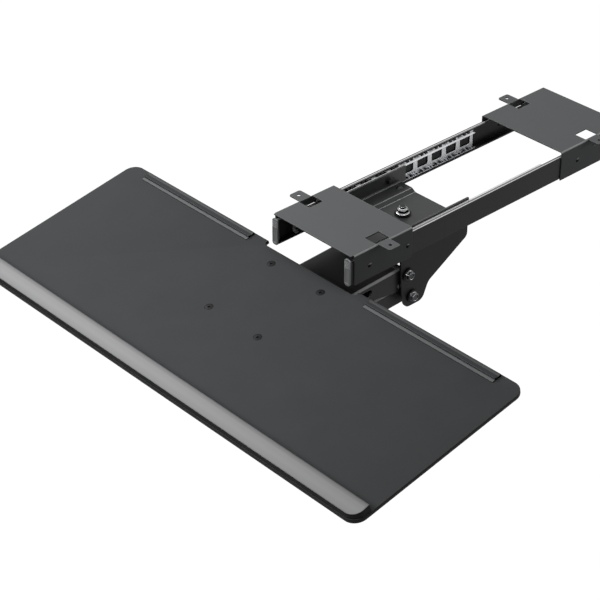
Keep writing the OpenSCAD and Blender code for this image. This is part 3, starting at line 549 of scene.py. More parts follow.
class Shaper:
    """Edit-mode work on one mesh, with what is picked chosen by place or direction."""

    def __init__(self, piece: bpy.types.Object, name: str) -> None:
        """Names a piece, and applies its place, turn and scale to its mesh.

        Args:
            piece: The object.
            name: Name of the piece.
        """
        self.piece = named(piece, name)
        take(piece)
        bpy.ops.object.transform_apply(location=True, rotation=True, scale=True)

    @classmethod
    def block(cls, name: str, low: Sequence[float], high: Sequence[float]) -> "Shaper":
        """Starts from a box between two corners.

        Args:
            name: Name of the piece.
            low: Lowest corner.
            high: Highest corner.

        Returns:
            The shaper of the new box.
        """
        clear_selection()
        low_v, high_v = Vector(low), Vector(high)
        bpy.ops.mesh.primitive_cube_add(size=1, location=(low_v + high_v) / 2, scale=high_v - low_v)
        return cls(bpy.context.object, name)

    @classmethod
    def rod(cls, name: str, start: Vector, end: Vector, radius: float, sides: int = 48) -> "Shaper":
        """Starts from a round or many-sided bar between two points.

        Args:
            name: Name of the piece.
            start: Centre of the first end.
            end: Centre of the second end.
            radius: Radius to the corners.
            sides: Number of sides.

        Returns:
            The shaper of the new bar.
        """
        clear_selection()
        run = end - start
        bpy.ops.mesh.primitive_cylinder_add(
            vertices=sides, radius=radius, depth=run.length, location=(start + end) / 2,
            rotation=run.to_track_quat("Z", "Y").to_euler())
        return cls(bpy.context.object, name)

    @classmethod
    def cone(cls, name: str, span: tuple[float, float], radii: tuple[float, float]) -> "Shaper":
        """Starts from an upright cut-off cone on the Z axis.

        Args:
            name: Name of the piece.
            span: Heights of its lower and upper end.
            radii: Radii of its lower and upper end.

        Returns:
            The shaper of the new cone.
        """
        clear_selection()
        bpy.ops.mesh.primitive_cone_add(vertices=40, radius1=radii[0], radius2=radii[1],
                                        depth=span[1] - span[0], location=(0, 0, sum(span) / 2))
        return cls(bpy.context.object, name)

    def _edit(self, mode: tuple[bool, bool, bool]) -> "Shaper":
        """Enters edit mode.

        Args:
            mode: Whether vertices, edges and faces are the picked kind.

        Returns:
            This shaper.
        """
        bpy.context.view_layer.objects.active = self.piece
        bpy.context.tool_settings.mesh_select_mode = mode
        bpy.ops.object.mode_set(mode="EDIT")
        return self

    def _clear(self) -> bpy.types.Mesh:
        """Leaves nothing picked on the mesh.

        Returns:
            The mesh.
        """
        take(self.piece)
        mesh = self.piece.data
        for group in (mesh.vertices, mesh.edges, mesh.polygons):
            group.foreach_set("select", [False] * len(group))
        return mesh

    def verts(self, test: Callable[[Vector], bool]) -> "Shaper":
        """Picks vertices.

        Args:
            test: Test on a vertex's place.

        Returns:
            This shaper, in edit mode.
        """
        for vertex in self._clear().vertices:
            vertex.select = test(vertex.co)
        return self._edit((True, False, False))

    def edges(self, test: Callable[[Vector, Vector], bool]) -> "Shaper":
        """Picks edges.

        Args:
            test: Test on the two ends of an edge.

        Returns:
            This shaper, in edit mode.
        """
        mesh = self._clear()
        for edge in mesh.edges:
            a, b = (mesh.vertices[i].co for i in edge.vertices)
            edge.select = test(a, b)
        return self._edit((False, True, False))

    def faces(self, test: Callable[[Vector, Vector], bool]) -> "Shaper":
        """Picks faces.

        Args:
            test: Test on a face's centre and normal.

        Returns:
            This shaper, in edit mode.
        """
        for polygon in self._clear().polygons:
            polygon.select = test(polygon.center, polygon.normal)
        return self._edit((False, False, True))

    def done(self) -> "Shaper":
        """Returns to object mode."""
        bpy.ops.object.mode_set(mode="OBJECT")
        return self

    def bevel(self, width: float, segments: int) -> "Shaper":
        """Bevels the picked edges by a width, in a number of steps."""
        bpy.ops.mesh.bevel(offset=width, segments=segments, affect="EDGES")
        return self.done()

    def push(self, offset: Sequence[float]) -> "Shaper":
        """Moves what is picked."""
        bpy.ops.transform.translate(value=tuple(offset))
        return self.done()

    def extrude(self, offset: Sequence[float]) -> "Shaper":
        """Extrudes the picked faces by an offset."""
        bpy.ops.mesh.extrude_region_move(TRANSFORM_OT_translate={"value": tuple(offset)})
        return self.done()

    def inset(self, thickness: float, depth: float) -> "Shaper":
        """Insets the picked faces, and sinks or lifts them."""
        bpy.ops.mesh.inset(thickness=thickness, depth=depth)
        return self.done()

    def cut(self, point: Sequence[float], normal: Sequence[float], keep: bool = True) -> "Shaper":
        """Cuts the whole mesh along a plane.

        Args:
            point: A point of the plane.
            normal: The plane's normal.
            keep: False to drop and close the side that the normal points to.

        Returns:
            This shaper.
        """
        self._clear()
        self._edit((True, True, True))
        bpy.ops.mesh.select_all(action="SELECT")
        bpy.ops.mesh.bisect(plane_co=tuple(point), plane_no=tuple(normal), use_fill=not keep,
                            clear_outer=not keep)
        return self.done()

    def close(self, angle: float = 35.0) -> bpy.types.Object:
        """Merges doubles, turns the faces outwards and smooths what is nearly flat.

        Args:
            angle: Largest angle between faces that are smoothed, in degrees.

        Returns:
            The finished object.
        """
        self._clear()
        self._edit((True, False, False))
        bpy.ops.mesh.select_all(action="SELECT")
        bpy.ops.mesh.remove_doubles(threshold=TINY)
        bpy.ops.mesh.normals_make_consistent(inside=False)
        self.done()
        take(self.piece)
        bpy.ops.object.shade_smooth_by_angle(angle=math.radians(angle))
        return self.piece


def join(pieces: Sequence[bpy.types.Object], name: str) -> bpy.types.Object:
    """Joins pieces into one object.

    Args:
        pieces: The objects, the first of which stays.
        name: Name of the joined object.

    Returns:
        The joined object.
    """
    clear_selection()
    for piece in pieces:
        piece.select_set(True)
    bpy.context.view_layer.objects.active = pieces[0]
    if len(pieces) > 1:
        bpy.ops.object.join()
    return named(pieces[0], name)


def copied(piece: bpy.types.Object, matrix: Matrix) -> bpy.types.Object:
    """Copy of a piece with its own mesh, placed by a matrix that is applied.

    Args:
        piece: The object to copy.
        matrix: Where the copy goes.

    Returns:
        The copy.
    """
    twin = piece.copy()
    twin.data = piece.data.copy()
    bpy.context.scene.collection.objects.link(twin)
    twin.data.transform(matrix)
    if matrix.determinant() < 0:
        twin.data.flip_normals()
    return twin


def spread(piece: bpy.types.Object, places: Iterable[Sequence[float]]) -> list[bpy.types.Object]:
    """Copies a piece to several places and removes the first.

    Args:
        piece: The object, made at the origin.
        places: Where the copies go.

    Returns:
        The copies.
    """
    copies = [copied(piece, Matrix.Translation(place)) for place in places]
    bpy.data.objects.remove(piece)
    return copies


def carve(piece: bpy.types.Object, cutters: Sequence[bpy.types.Object]) -> None:
    """Cuts the cutters out of a piece and removes them.

    Args:
        piece: The object that is cut.
        cutters: Closed meshes, which don't touch each other.
    """
    cutter = join(cutters, "cutter")
    apply_modifier(piece, "BOOLEAN", operation="DIFFERENCE", object=cutter, solver="EXACT")
    bpy.data.objects.remove(cutter)


def hex_prism(name: str, start: Vector, end: Vector, flats: float, chamfer: float) -> Shaper:
    """Six-sided bar whose far end is chamfered.

    Args:
        name: Name of the piece.
        start: Centre of the near end.
        end: Centre of the far end.
        flats: Width across the flats.
        chamfer: Width of the chamfer.

    Returns:
        The shaper of the bar.
    """
    prism = Shaper.rod(name, start, end, flats / 2 / math.cos(math.radians(30)), 6)
    axis = (end - start).normalized()
    return prism.edges(at_end(axis, axis.dot(end))).bevel(chamfer, 2)


def dress(piece: bpy.types.Object, finish: Finish) -> None:
    """Gives a piece one material."""
    piece.data.materials.clear()
    piece.data.materials.append(finish.material())


def hand_over(piece: bpy.types.Object, body: str, node: str) -> None:
    """Sends a finished piece to its body, and hides the node it stands for.

    Args:
        piece: The finished object.
        body: Body that it rides on.
        node: Node that it stands for.
    """
    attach(piece, body)
    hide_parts(node)
    LOG.info("%s: %d faces, rides on %s", piece.name, len(piece.data.polygons), body)


@dataclass
class Tray:
    """The board with its palm strip, mouse stops and screws, in metres.

    The board's own frame has its origin at the top of the rear edge, and runs along -Y.
    """

    width: float = 673 * MM
    depth: float = 258 * MM
    thickness: float = 5 * MM
    corner: float = 16 * MM
    slope: float = math.radians(10.1)
    rear_edge: Vector = field(default_factory=lambda: Vector((0, -235.1 * MM, -43.5 * MM)))
    recess: tuple[float, float] = (156 * MM, 7.5 * MM)
    recess_corner: float = 5 * MM
    edge_round: float = 0.7 * MM
    strip_depth: float = 24 * MM
    strip_margin: float = 1.1 * MM
    strip_round: float = 1.3 * MM
    brow: float = 7 * MM
    crest: float = 10.5 * MM
    crest_inset: float = 2.2 * MM
    crest_roll: tuple[float, float] = (0.9 * MM, 1.4 * MM)
    stop_start: float = 101 * MM
    stop_length: float = 201 * MM
    stop_height: float = 3.4 * MM
    stop_block: tuple[float, float] = (2.5 * MM, 12 * MM)
    stop_skirt: tuple[float, float] = (16.3 * MM, 1 * MM)
    stop_slant: float = 4 * MM
    stop_round: float = 0.35 * MM
    groove_at: float = 0.42
    groove_half: float = 0.7 * MM
    groove_depth: float = 0.9 * MM
    screw_x: float = 42.7 * MM
    screw_v: tuple[float, float] = (28 * MM, 127 * MM)
    screw_hole: float = 2.6 * MM
    screw_radii: tuple[float, float] = (2.4 * MM, 5.4 * MM)
    screw_span: tuple[float, float] = (-2.9 * MM, -0.3 * MM)
    screw_rim: tuple[float, float] = (0.35 * MM, 0.12 * MM)
    screw_shank: float = 7 * MM
    socket_r: float = 1.9 * MM
    socket_floor: float = -1.2 * MM
    sink_gap: float = 0.9 * MM
    sink_span: tuple[float, float] = (-3 * MM, 0.8 * MM)
    spare: float = 1 * MM
    arc_steps: int = 14

    def lay(self, piece: bpy.types.Object) -> bpy.types.Object:
        """Moves a piece from the board's frame to its place.

        Args:
            piece: The object, in the board's frame.

        Returns:
            The same object.
        """
        piece.data.transform(Matrix.Translation(self.rear_edge) @ Matrix.Rotation(self.slope, 4, "X"))
        return piece

    def _slab(self, name: str, inset: float, base: float, height: float) -> Shaper:
        """Flat slab with the board's outline.

        Args:
            name: Name of the piece.
            inset: Margin inside the board's outline.
            base: Height of its underside.
            height: Thickness of the slab.

        Returns:
            The shaper of the slab.
        """
        half = self.width / 2 - inset
        slab = Shaper.block(name, (-half, -self.depth + inset, base), (half, -inset, base + height))
        return slab.edges(along("z", height / 2)).bevel(self.corner - inset, self.arc_steps)

    def board(self) -> bpy.types.Object:
        """Board with rounded corners, a rear recess, countersunk holes and eased edges.

        Returns:
            The finished board.
        """
        slab = self._slab("board", 0.0, -self.thickness, self.thickness)
        notch_w, notch_d = self.recess
        notch = Shaper.block("notch", (-notch_w / 2, -notch_d, -2 * self.thickness),
                             (notch_w / 2, 4 * self.thickness, self.thickness))
        upright = along("z")
        notch.edges(lambda a, b: upright(a, b) and a.y < 0 and b.y < 0).bevel(self.recess_corner, 8)
        carve(slab.piece, [notch.close()])
        slab.edges(lambda a, b: abs(a.z - b.z) < TINY and self._on_rim(a) and self._on_rim(b))
        slab.bevel(self.edge_round, 3)
        hole = Shaper.rod("hole", -2 * self.thickness * UP, self.spare * UP, self.screw_hole, 32)
        foot, head = self.screw_radii
        sink = Shaper.cone("sink", self.sink_span, (foot, head + self.sink_gap))
        for cutter in (hole, sink):
            carve(slab.piece, spread(cutter.close(), self.screw_places()))
        return self.lay(slab.close(40))

    def _on_rim(self, place: Vector) -> bool:
        """Tells the outer wall and the recess wall of the board from the rest.

        Args:
            place: A point of the board.

        Returns:
            True on either wall.
        """
        notch_w, notch_d = self.recess
        half = self.width / 2
        if min(abs(abs(place.x) - half), abs(place.y + self.depth), abs(place.y)) < NEAR:
            return True
        if abs(place.x) < notch_w / 2 + NEAR and place.y > -notch_d - NEAR:
            return True
        centre = Vector((math.copysign(half - self.corner, place.x),
                         -self.corner if place.y > -self.depth / 2 else -self.depth + self.corner))
        return abs((Vector((place.x, place.y)) - centre).length - self.corner) < NEAR

    def screw_places(self) -> list[Vector]:
        """Places of the four board screws in the board's frame."""
        return [Vector((side * self.screw_x, -v, 0)) for side in (-1, 1) for v in self.screw_v]

    def palm_strip(self) -> bpy.types.Object:
        """Soft strip along the front edge: a rolled crest at the back that falls to the front.

        Returns:
            The finished strip.
        """
        slab = self._slab("palm_strip", self.strip_margin, 0.0, self.brow)
        front = -self.depth + self.strip_margin
        rear = front + self.strip_depth
        slab.cut((0, rear, 0), (0, 1, 0), keep=False)
        crest_at = rear - self.crest_inset
        slab.cut((0, crest_at, 0), (0, 1, 0))
        top, rise = self.brow - NEAR, self.crest - self.brow
        back, down = self.crest_roll
        slab.verts(lambda p: p.z > top and p.y > crest_at - NEAR).push(rise * UP)
        slab.verts(lambda p: p.z > top and abs(p.y - rear) < NEAR).push((0, -back, -down))
        for vertex in slab.piece.data.vertices:
            if vertex.co.z > top and front + NEAR < vertex.co.y < crest_at - NEAR:
                vertex.co.z = self.brow + rise * (vertex.co.y - front) / (crest_at - front)
        soften(slab.piece, self.strip_round, 4, 22)
        return self.lay(slab.close(60))

    def mouse_stop(self, name: str, mirrored: bool) -> bpy.types.Object:
        """Mouse stop on the rear edge: a grooved block with a thin skirt and slanted ends.

        Args:
            name: Name of the piece.
            mirrored: True for the left one.

        Returns:
            The finished stop.
        """
        back, front = -self.stop_block[0], -self.stop_block[1]
        skirt_y, skirt_h = -self.stop_skirt[0], self.stop_skirt[1]
        end = self.stop_start + self.stop_length
        bar = Shaper.block(name, (self.stop_start, skirt_y, 0), (end, back, skirt_h))
        bar.cut((0, front, 0), (0, 1, 0))
        bar.faces(lambda c, n: n.z > 0.9 and c.y > front).extrude((self.stop_height - skirt_h) * UP)
        groove = back - (back - front) * self.groove_at
        for y in (groove + self.groove_half, groove - self.groove_half):
            bar.cut((0, y, 0), (0, 1, 0))
        bar.faces(lambda c, n: n.z > 0.9 and abs(c.y - groove) < self.groove_half)
        bar.push(-self.groove_depth * UP)
        for x, side in ((self.stop_start, -1), (end, 1)):
            bar.cut((x, back, 0), (side * (back - skirt_y), -self.stop_slant, 0), keep=False)
        soften(bar.piece, self.stop_round, 2, 30)
        if mirrored:
            bar.piece.data.transform(MIRROR)
        return self.lay(bar.close(40))

    def screws(self) -> bpy.types.Object:
        """Four countersunk screws with a hexagon socket.

        Returns:
            The finished screws.
        """
        screw = Shaper.cone("screw", self.screw_span, self.screw_radii)
        screw.faces(lambda c, n: n.z > 0.9).inset(*self.screw_rim)
        socket = Shaper.rod("socket", self.socket_floor * UP, self.spare * UP, self.socket_r, 6)
        carve(screw.piece, [socket.close()])
        foot = self.screw_span[0] + NEAR
        screw.faces(lambda c, n: n.z < -0.9 and c.z < foot).extrude(-self.screw_shank * UP)
        return self.lay(join(spread(screw.close(30), self.screw_places()), "tray_screws"))

    def build(self) -> None:
        """Builds, dresses and hands over the tray's pieces."""
        board = self.board()
        dress(board, LAMINATE)
        # The board's edge walls take the painted shade; the faces that look up keep the laminate.
        board.data.materials.append(LAMINATE_EDGE_PAINTED_SHADE.material())
        up = Vector((0, -math.sin(self.slope), math.cos(self.slope)))
        for polygon in board.data.polygons:
            polygon.material_index = 0 if polygon.normal.dot(up) > 0.8 else 1
        hand_over(board, "tray", "board")
        strip = self.palm_strip()
        dress(strip, VINYL)
        hand_over(strip, "tray", "palm_strip")
        for side in ("right", "left"):
            stop = self.mouse_stop(f"{side}_mouse_stop_bar", side == "left")
            dress(stop, STOP_PLASTIC)
            hand_over(stop, "tray", f"{side}_mouse_stop")
        screws = self.screws()
        dress(screws, SCREW_BLACK)
        hand_over(screws, "tray", "tray_screws")


@dataclass
class Track:
    """Ball cages and end caps of the slides, in metres, made for the right side and mirrored."""

    front: float = -236.9 * MM
    channel: tuple[float, float] = (57.5 * MM, 66.8 * MM)
    mid_z: float = -23.5 * MM
    row: float = 11.95 * MM
    web: tuple[float, float] = (64.0 * MM, 64.6 * MM)
    upper_leg: float = 55.6 * MM
    lower_leg: float = 58.6 * MM
    leg_bend: float = 0.55 * MM
    cage_edge: float = 0.12 * MM
    cage_span: tuple[float, float] = (-208.2 * MM, 105.8 * MM)
    cage_end: float = 5.3 * MM
    leg_trim: tuple[float, float] = (5 * MM, 1.2 * MM)
    trim_corner: float = 1 * MM
    pitch: float = 25.9 * MM
    windows: int = 12
    window: tuple[float, float] = (18.5 * MM, 12.5 * MM)
    window_corner: float = 2.2 * MM
    race: tuple[float, float] = (59.0 * MM, 62.6 * MM)
    race_half: float = 9.805 * MM
    race_corner: float = 1.2 * MM
    ball_x: float = 61.8 * MM
    ball_pair: float = 7.2 * MM
    ball_hole: float = 2.3 * MM
    mark_x: float = 61.2 * MM
    mark_half: float = 1.3 * MM
    mark_turn: float = math.radians(24)
    marks: tuple[tuple[float, float], ...] = ((-5.2 * MM, 3.4 * MM), (-0.2 * MM, 4.2 * MM),
                                              (4.8 * MM, 4.6 * MM))
    cap_z: tuple[float, float] = (-40.4 * MM, -4.7 * MM)
    cap_t: float = 2.3 * MM
    cap_corner: float = 3.5 * MM
    cap_edge: float = 0.22 * MM
    ribs: int = 5
    rib_start: float = 3.2 * MM
    rib_pitch: float = 1.8 * MM
    rib_gap: float = 0.8 * MM
    rib_depth: float = 0.6 * MM
    panel_margin: tuple[float, float] = (1.6 * MM, 3.2 * MM)
    panel_top: float = 14 * MM
    panel_depth: float = 0.4 * MM
    panel_corner: float = 1.4 * MM
    plug: tuple[float, float] = (3.2 * MM, 5.0 * MM)
    plug_half: float = 13.7 * MM
    plug_inset: float = 1.2 * MM
    spare: float = 1 * MM

    def cage(self) -> bpy.types.Object:
        """Stamped cage: a web with round-cornered windows, two legs, ball slots and slanted marks.

        Returns:
            The right-hand cage.
        """
        y0, y1 = self.cage_span
        x0, x1 = self.web
        thick = x1 - x0
        low, high = self.mid_z - self.row - thick / 2, self.mid_z + self.row + thick / 2
        cage = Shaper.block("right_cage_piece", (x0, y0, low), (x1, y1, high))
        cage.cut((0, 0, high - thick), UP).cut((0, 0, low + thick), UP)
        for leg, ends in ((self.upper_leg, (high - thick, high)), (self.lower_leg, (low, low + thick))):
            inner = cage.faces(lambda c, n: n.x < -0.9 and ends[0] < c.z < ends[1])
            inner.extrude((leg - x0) * RIGHT)
        cage.edges(lambda a, b: min(a.x, b.x) > x1 - TINY and abs(a.z - b.z) < TINY
                   and not low + TINY < a.z < high - TINY).bevel(self.leg_bend, 4)
        for cutter in (self._window_cutter(), self._race_cutter(), self._mark_cutter()):
            carve(cage.piece, spread(cutter, ((0, y, 0) for y in self._window_ys())))
        trim_l, trim_x = self.leg_trim
        trim = Shaper.block("trim", (self.upper_leg - 10 * self.spare, y1 - trim_l, high - 2 * self.spare),
                            (x0 - trim_x, y1 + self.spare, high + self.spare))
        upright = along("z")
        trim.edges(lambda a, b: upright(a, b) and max(a.y, b.y) < y1).bevel(self.trim_corner, 3)
        carve(cage.piece, [trim.close()])
        soften(cage.piece, self.cage_edge, 1, 50)
        return cage.close(40)

    def _window_ys(self) -> list[float]:
        """Centres of the cage's windows along the track."""
        last = self.cage_span[1] - self.cage_end - self.window[0] / 2
        return [last - i * self.pitch for i in range(self.windows)]

    def _window_cutter(self) -> bpy.types.Object:
        """Cutter of one window.

        Returns:
            The cutter, at zero along the track.
        """
        length, height = self.window
        x0, x1 = self.web
        cutter = Shaper.block("window", (x0 - self.spare, -length / 2, self.mid_z - height / 2),
                              (x1 + self.spare, length / 2, self.mid_z + height / 2))
        return cutter.edges(along("x")).bevel(self.window_corner, 5).close()

    def _race_cutter(self) -> bpy.types.Object:
        """Cutter of a long ball slot in the upper leg and of two ball holes in the lower one.

        Returns:
            The cutter, at zero along the track.
        """
        x0, x1 = self.race
        high, low = self.mid_z + self.row, self.mid_z - self.row
        slot = Shaper.block("race", (x0, -self.race_half, high - self.spare),
                            (x1, self.race_half, high + self.spare))
        slot.edges(along("z")).bevel(self.race_corner, 3)
        hole = Shaper.rod("hole", (low - self.spare) * UP, (low + self.spare) * UP, self.ball_hole, 24)
        holes = spread(hole.close(), ((self.ball_x, side * self.ball_pair / 2, 0) for side in (-1, 1)))
        return join([slot.close(), *holes], "races")

    def _mark_cutter(self) -> bpy.types.Object:
        """Cutter of three slanted marks in the lower leg between two windows.

        Returns:
            The cutter, at zero along the track.
        """
        marks = []
        turn = Matrix.Rotation(self.mark_turn, 4, "Z")
        for place, length in self.marks:
            mark = Shaper.block("mark", (-length / 2, -self.mark_half, -self.spare),
                                (length / 2, self.mark_half, self.spare))
            move = Matrix.Translation((self.mark_x, self.pitch / 2 + place, self.mid_z - self.row))
            mark.piece.data.transform(move @ turn)
            marks.append(mark.close())
        return join(marks, "marks")

    def end_cap(self) -> bpy.types.Object:
        """End cap: a round-ended bar with fine ribs above a sunk panel, and a plug behind it.

        Returns:
            The right-hand cap.
        """
        x0, x1 = self.channel
        z0, z1 = self.cap_z
        y0, ahead = self.front - self.cap_t, self.front - self.cap_t - self.spare
        cap = Shaper.block("right_end_cap_piece", (x0, y0, z0), (x1, self.front, z1))
        cap.edges(along("y")).bevel(self.cap_corner, 8)
        top = z1 - self.rib_start
        groove = Shaper.block("groove", (x0 - self.spare, ahead, top - self.rib_gap),
                              (x1 + self.spare, y0 + self.rib_depth, top))
        carve(cap.piece, spread(groove.close(), (-k * self.rib_pitch * UP for k in range(self.ribs))))
        margin_x, margin_z = self.panel_margin
        panel = Shaper.block("panel", (x0 + margin_x, ahead, z0 + margin_z),
                             (x1 - margin_x, y0 + self.panel_depth, z1 - self.panel_top))
        carve(cap.piece, [panel.edges(along("y")).bevel(self.panel_corner, 4).close()])
        soften(cap.piece, self.cap_edge, 2, 40)
        plug_w, plug_l = self.plug
        plug_x = x1 - self.plug_inset
        plug = Shaper.block("plug", (plug_x - plug_w, self.front, self.mid_z - self.plug_half),
                            (plug_x, self.front + plug_l, self.mid_z + self.plug_half))
        return join([cap.close(35), plug.close()], cap.piece.name)

    def build(self) -> None:
        """Builds, dresses and hands over the cages and caps of both sides."""
        for make, label, finish, slot in ((self.cage, "cage", ZINC, "zinc"),
                                          (self.end_cap, "end_cap", CAP_PLASTIC, "cap_plastic")):
            right = make()
            left = named(copied(right, MIRROR), f"left_{label}_piece")
            for piece, side in ((right, "right"), (left, "left")):
                dress(piece, finish)
                body = f"{side}_cage_body" if label == "cage" else "track"
                hand_over(piece, body, f"{side}_{label}")


@dataclass
class LiftArm:
    """Fasteners, spring and knob of the swivel, lift and tilt joints, in metres."""

    swivel_y: float = -85.9 * MM
    nut_z: float = -31.2 * MM
    nut_flats: float = 13 * MM
    nut_h: float = 6.4 * MM
    nut_bore: float = 4.05 * MM
    nut_chamfer: float = 0.8 * MM
    flange: tuple[float, float] = (8.7 * MM, 1.9 * MM)
    flange_round: float = 1.1 * MM
    collar: tuple[float, float] = (5.4 * MM, 7.6 * MM)
    collar_round: float = 0.7 * MM
    sunk: float = 0.1 * MM
    spare: float = 2 * MM
    pivots: tuple[tuple[float, float], tuple[float, float]] = ((-128.5 * MM, -77.0 * MM),
                                                               (-120.7 * MM, -110.5 * MM))
    pin_r: float = 5 * MM
    pin_gap: float = 0.05 * MM
    pin_tail: float = 8.5 * MM
    tail_round: float = 0.8 * MM
    cheek_x: float = 53 * MM
    bush_flange: float = 2 * MM
    washer: tuple[float, float] = (6.4 * MM, 1 * MM)
    washer_round: float = 0.25 * MM
    head: tuple[float, float] = (10 * MM, 4 * MM)
    head_dish: tuple[float, float] = (1.4 * MM, -0.5 * MM)
    cap_nut: tuple[float, float] = (15 * MM, 5 * MM)
    chamfer: float = 0.9 * MM
    wire_r: float = 1.5 * MM
    coil_r: float = 11 * MM
    coil_pitch: float = 3.55 * MM
    coil_turns: int = 8
    turn_steps: int = 36
    arm_slope: float = math.radians(2.3)
    arm_tip: tuple[float, float] = (-40 * MM, 5.2 * MM)
    bracket_tip: tuple[float, float] = (41.2 * MM, 29.07 * MM)
    clamp: tuple[float, float] = (-304.62 * MM, -97.99 * MM)
    knob_x: float = 45.3 * MM
    knob_r: float = 16 * MM
    knob_l: float = 22 * MM
    knob_round: float = 1.1 * MM
    grip_start: float = 4 * MM
    flutes: int = 8
    flute: tuple[float, float] = (5 * MM, 3.2 * MM)
    hub: tuple[float, float] = (8 * MM, 4.2 * MM)
    insert: tuple[float, float] = (5.05 * MM, 3 * MM)

    def swivel_nut(self) -> bpy.types.Object:
        """Flanged lock nut with a collar round the bolt's end.

        Returns:
            The finished nut.
        """
        low = Vector((0, self.swivel_y, self.nut_z))
        flange_r, flange_h = self.flange
        collar_r, collar_top = self.collar
        nut = hex_prism("nut", low, low + UP * self.nut_h, self.nut_flats, self.nut_chamfer)
        flange = Shaper.rod("flange", low, low + UP * flange_h, flange_r)
        flange.edges(at_end(UP, self.nut_z + flange_h)).bevel(self.flange_round, 3)
        collar = Shaper.rod("collar", low + UP * (self.nut_h - self.sunk), low + UP * collar_top, collar_r)
        collar.edges(at_end(UP, self.nut_z + collar_top)).bevel(self.collar_round, 3)
        pieces = [nut.close(), flange.close(), collar.close()]
        bore = Shaper.rod("bore", low - UP * self.spare, low + UP * (collar_top + self.spare),
                          self.nut_bore, 40)
        for piece, cutter in zip(pieces, spread(bore.close(), [(0, 0, 0)] * len(pieces))):
            carve(piece, [cutter])
        return join(pieces, "swivel_nut_piece")

    def pivot_pin(self) -> bpy.types.Object:
        """Pivot bolt with a washer face and a chamfered, dished hexagonal head on the right.

        Returns:
            The finished bolt, on the X axis.
        """
        face, tail = self.cheek_x + self.bush_flange, -self.cheek_x - self.pin_tail
        washer_r, washer_t = self.washer
        flats, head_h = self.head
        shank = Shaper.rod("shank", tail * RIGHT, face * RIGHT, self.pin_r)
        shank.edges(at_end(-RIGHT, -tail)).bevel(self.tail_round, 2)
        seat = face + washer_t
        washer = Shaper.rod("washer", face * RIGHT, seat * RIGHT, washer_r)
        washer.edges(at_end(RIGHT, seat)).bevel(self.washer_round, 2)
        head = hex_prism("head", seat * RIGHT, (seat + head_h) * RIGHT, flats, self.chamfer)
        head.faces(lambda c, n: n.x > 0.9).inset(*self.head_dish)
        return join([shank.close(), washer.close(), head.close()], "pivot_pin")

    def pivot_nuts(self) -> bpy.types.Object:
        """Chamfered nuts on the left ends of both pivots.

        Returns:
            The finished nuts.
        """
        flats, height = self.cap_nut
        face = -RIGHT * (self.cheek_x + self.bush_flange)
        nut = hex_prism("nut", face, face - RIGHT * height, flats, self.chamfer)
        bore = Shaper.rod("bore", face + RIGHT * self.spare, face - RIGHT * (height + self.spare),
                          self.pin_r + self.pin_gap, 40)
        carve(nut.piece, [bore.close()])
        return join(spread(nut.close(), ((0, *pivot) for pivot in self.pivots)), "pivot_nuts_piece")

    def _spring_route(self) -> list[Vector]:
        """Points of the spring in the frame of the arm.

        Returns:
            The points, from the leg on the arm to the leg on the bracket.
        """
        def leg_angle(tip: tuple[float, float], side: int) -> float:
            """Angle at which a leg to a tip leaves the coil."""
            return math.atan2(tip[1], tip[0]) + side * math.acos(self.coil_r / math.hypot(*tip))

        start = leg_angle(self.arm_tip, 1)
        end = leg_angle(self.bracket_tip, -1) + math.tau * (self.coil_turns + 1)
        width = self.coil_pitch * (end - start) / math.tau
        count = self.turn_steps * self.coil_turns
        points = [Vector((-width / 2, *self.arm_tip))]
        for k in range(count + 1):
            share = k / count
            angle = start + (end - start) * share
            points.append(Vector(((share - 0.5) * width, self.coil_r * math.cos(angle),
                                  self.coil_r * math.sin(angle))))
        points.append(Vector((width / 2, *self.bracket_tip)))
        return points

    def spring(self) -> None:
        """Torsion spring of round wire, which twists between the bracket and the arm."""
        route = self._spring_route()
        curve = bpy.data.curves.new("lift_spring_piece", "CURVE")
        curve.dimensions = "3D"
        curve.bevel_depth, curve.bevel_resolution, curve.use_fill_caps = self.wire_r, 3, True
        spline = curve.splines.new("POLY")
        spline.points.add(len(route) - 1)
        for point, place in zip(spline.points, route):
            point.co = (*place, 1.0)
        piece = bpy.data.objects.new("lift_spring_piece", curve)
        bpy.context.scene.collection.objects.link(piece)
        take(piece)
        bpy.ops.object.convert(target="MESH")
        piece = bpy.context.object
        pivot = Vector((0, *self.pivots[0]))
        piece.data.transform(Matrix.Translation(pivot) @ Matrix.Rotation(self.arm_slope, 4, "X"))
        spring = Shaper(piece, "lift_spring_piece").close(60)
        dress(spring, ZINC)
        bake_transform(spring)
        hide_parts("lift_spring")
        LOG.info("%s: %d faces, twists between arm and turret", spring.name, len(spring.data.polygons))

    def knob(self) -> bpy.types.Object:
        """Fluted knob with a hub and softened edges.

        Returns:
            The finished knob.
        """
        at = Vector((self.knob_x, *self.clamp))
        flute_r, flute_out = self.flute
        hub_r, hub_l = self.hub
        bore_r, bore_floor = self.insert
        grip = Shaper.rod("grip", at + RIGHT * self.grip_start, at + RIGHT * self.knob_l, self.knob_r, 72)
        off = at + Vector((0, self.knob_r + flute_out, 0))
        flute = Shaper.rod("flute", off, off + RIGHT * (self.knob_l + self.spare), flute_r, 32).close()
        there, back = Matrix.Translation(at), Matrix.Translation(-at)
        turns = [Matrix.Rotation(math.tau * k / self.flutes, 4, "X") for k in range(self.flutes)]
        carve(grip.piece, [copied(flute, there @ turn @ back) for turn in turns])
        bpy.data.objects.remove(flute)
        soften(grip.piece, self.knob_round, 4, 50)
        hub = Shaper.rod("hub", at, at + RIGHT * hub_l, hub_r)
        pieces = [grip.close(50), hub.close()]
        bore = Shaper.rod("bore", at - RIGHT * self.spare, at + RIGHT * (self.knob_l - bore_floor),
                          bore_r, 40)
        carve(hub.piece, [bore.close()])
        return join(pieces, "tilt_knob_piece")

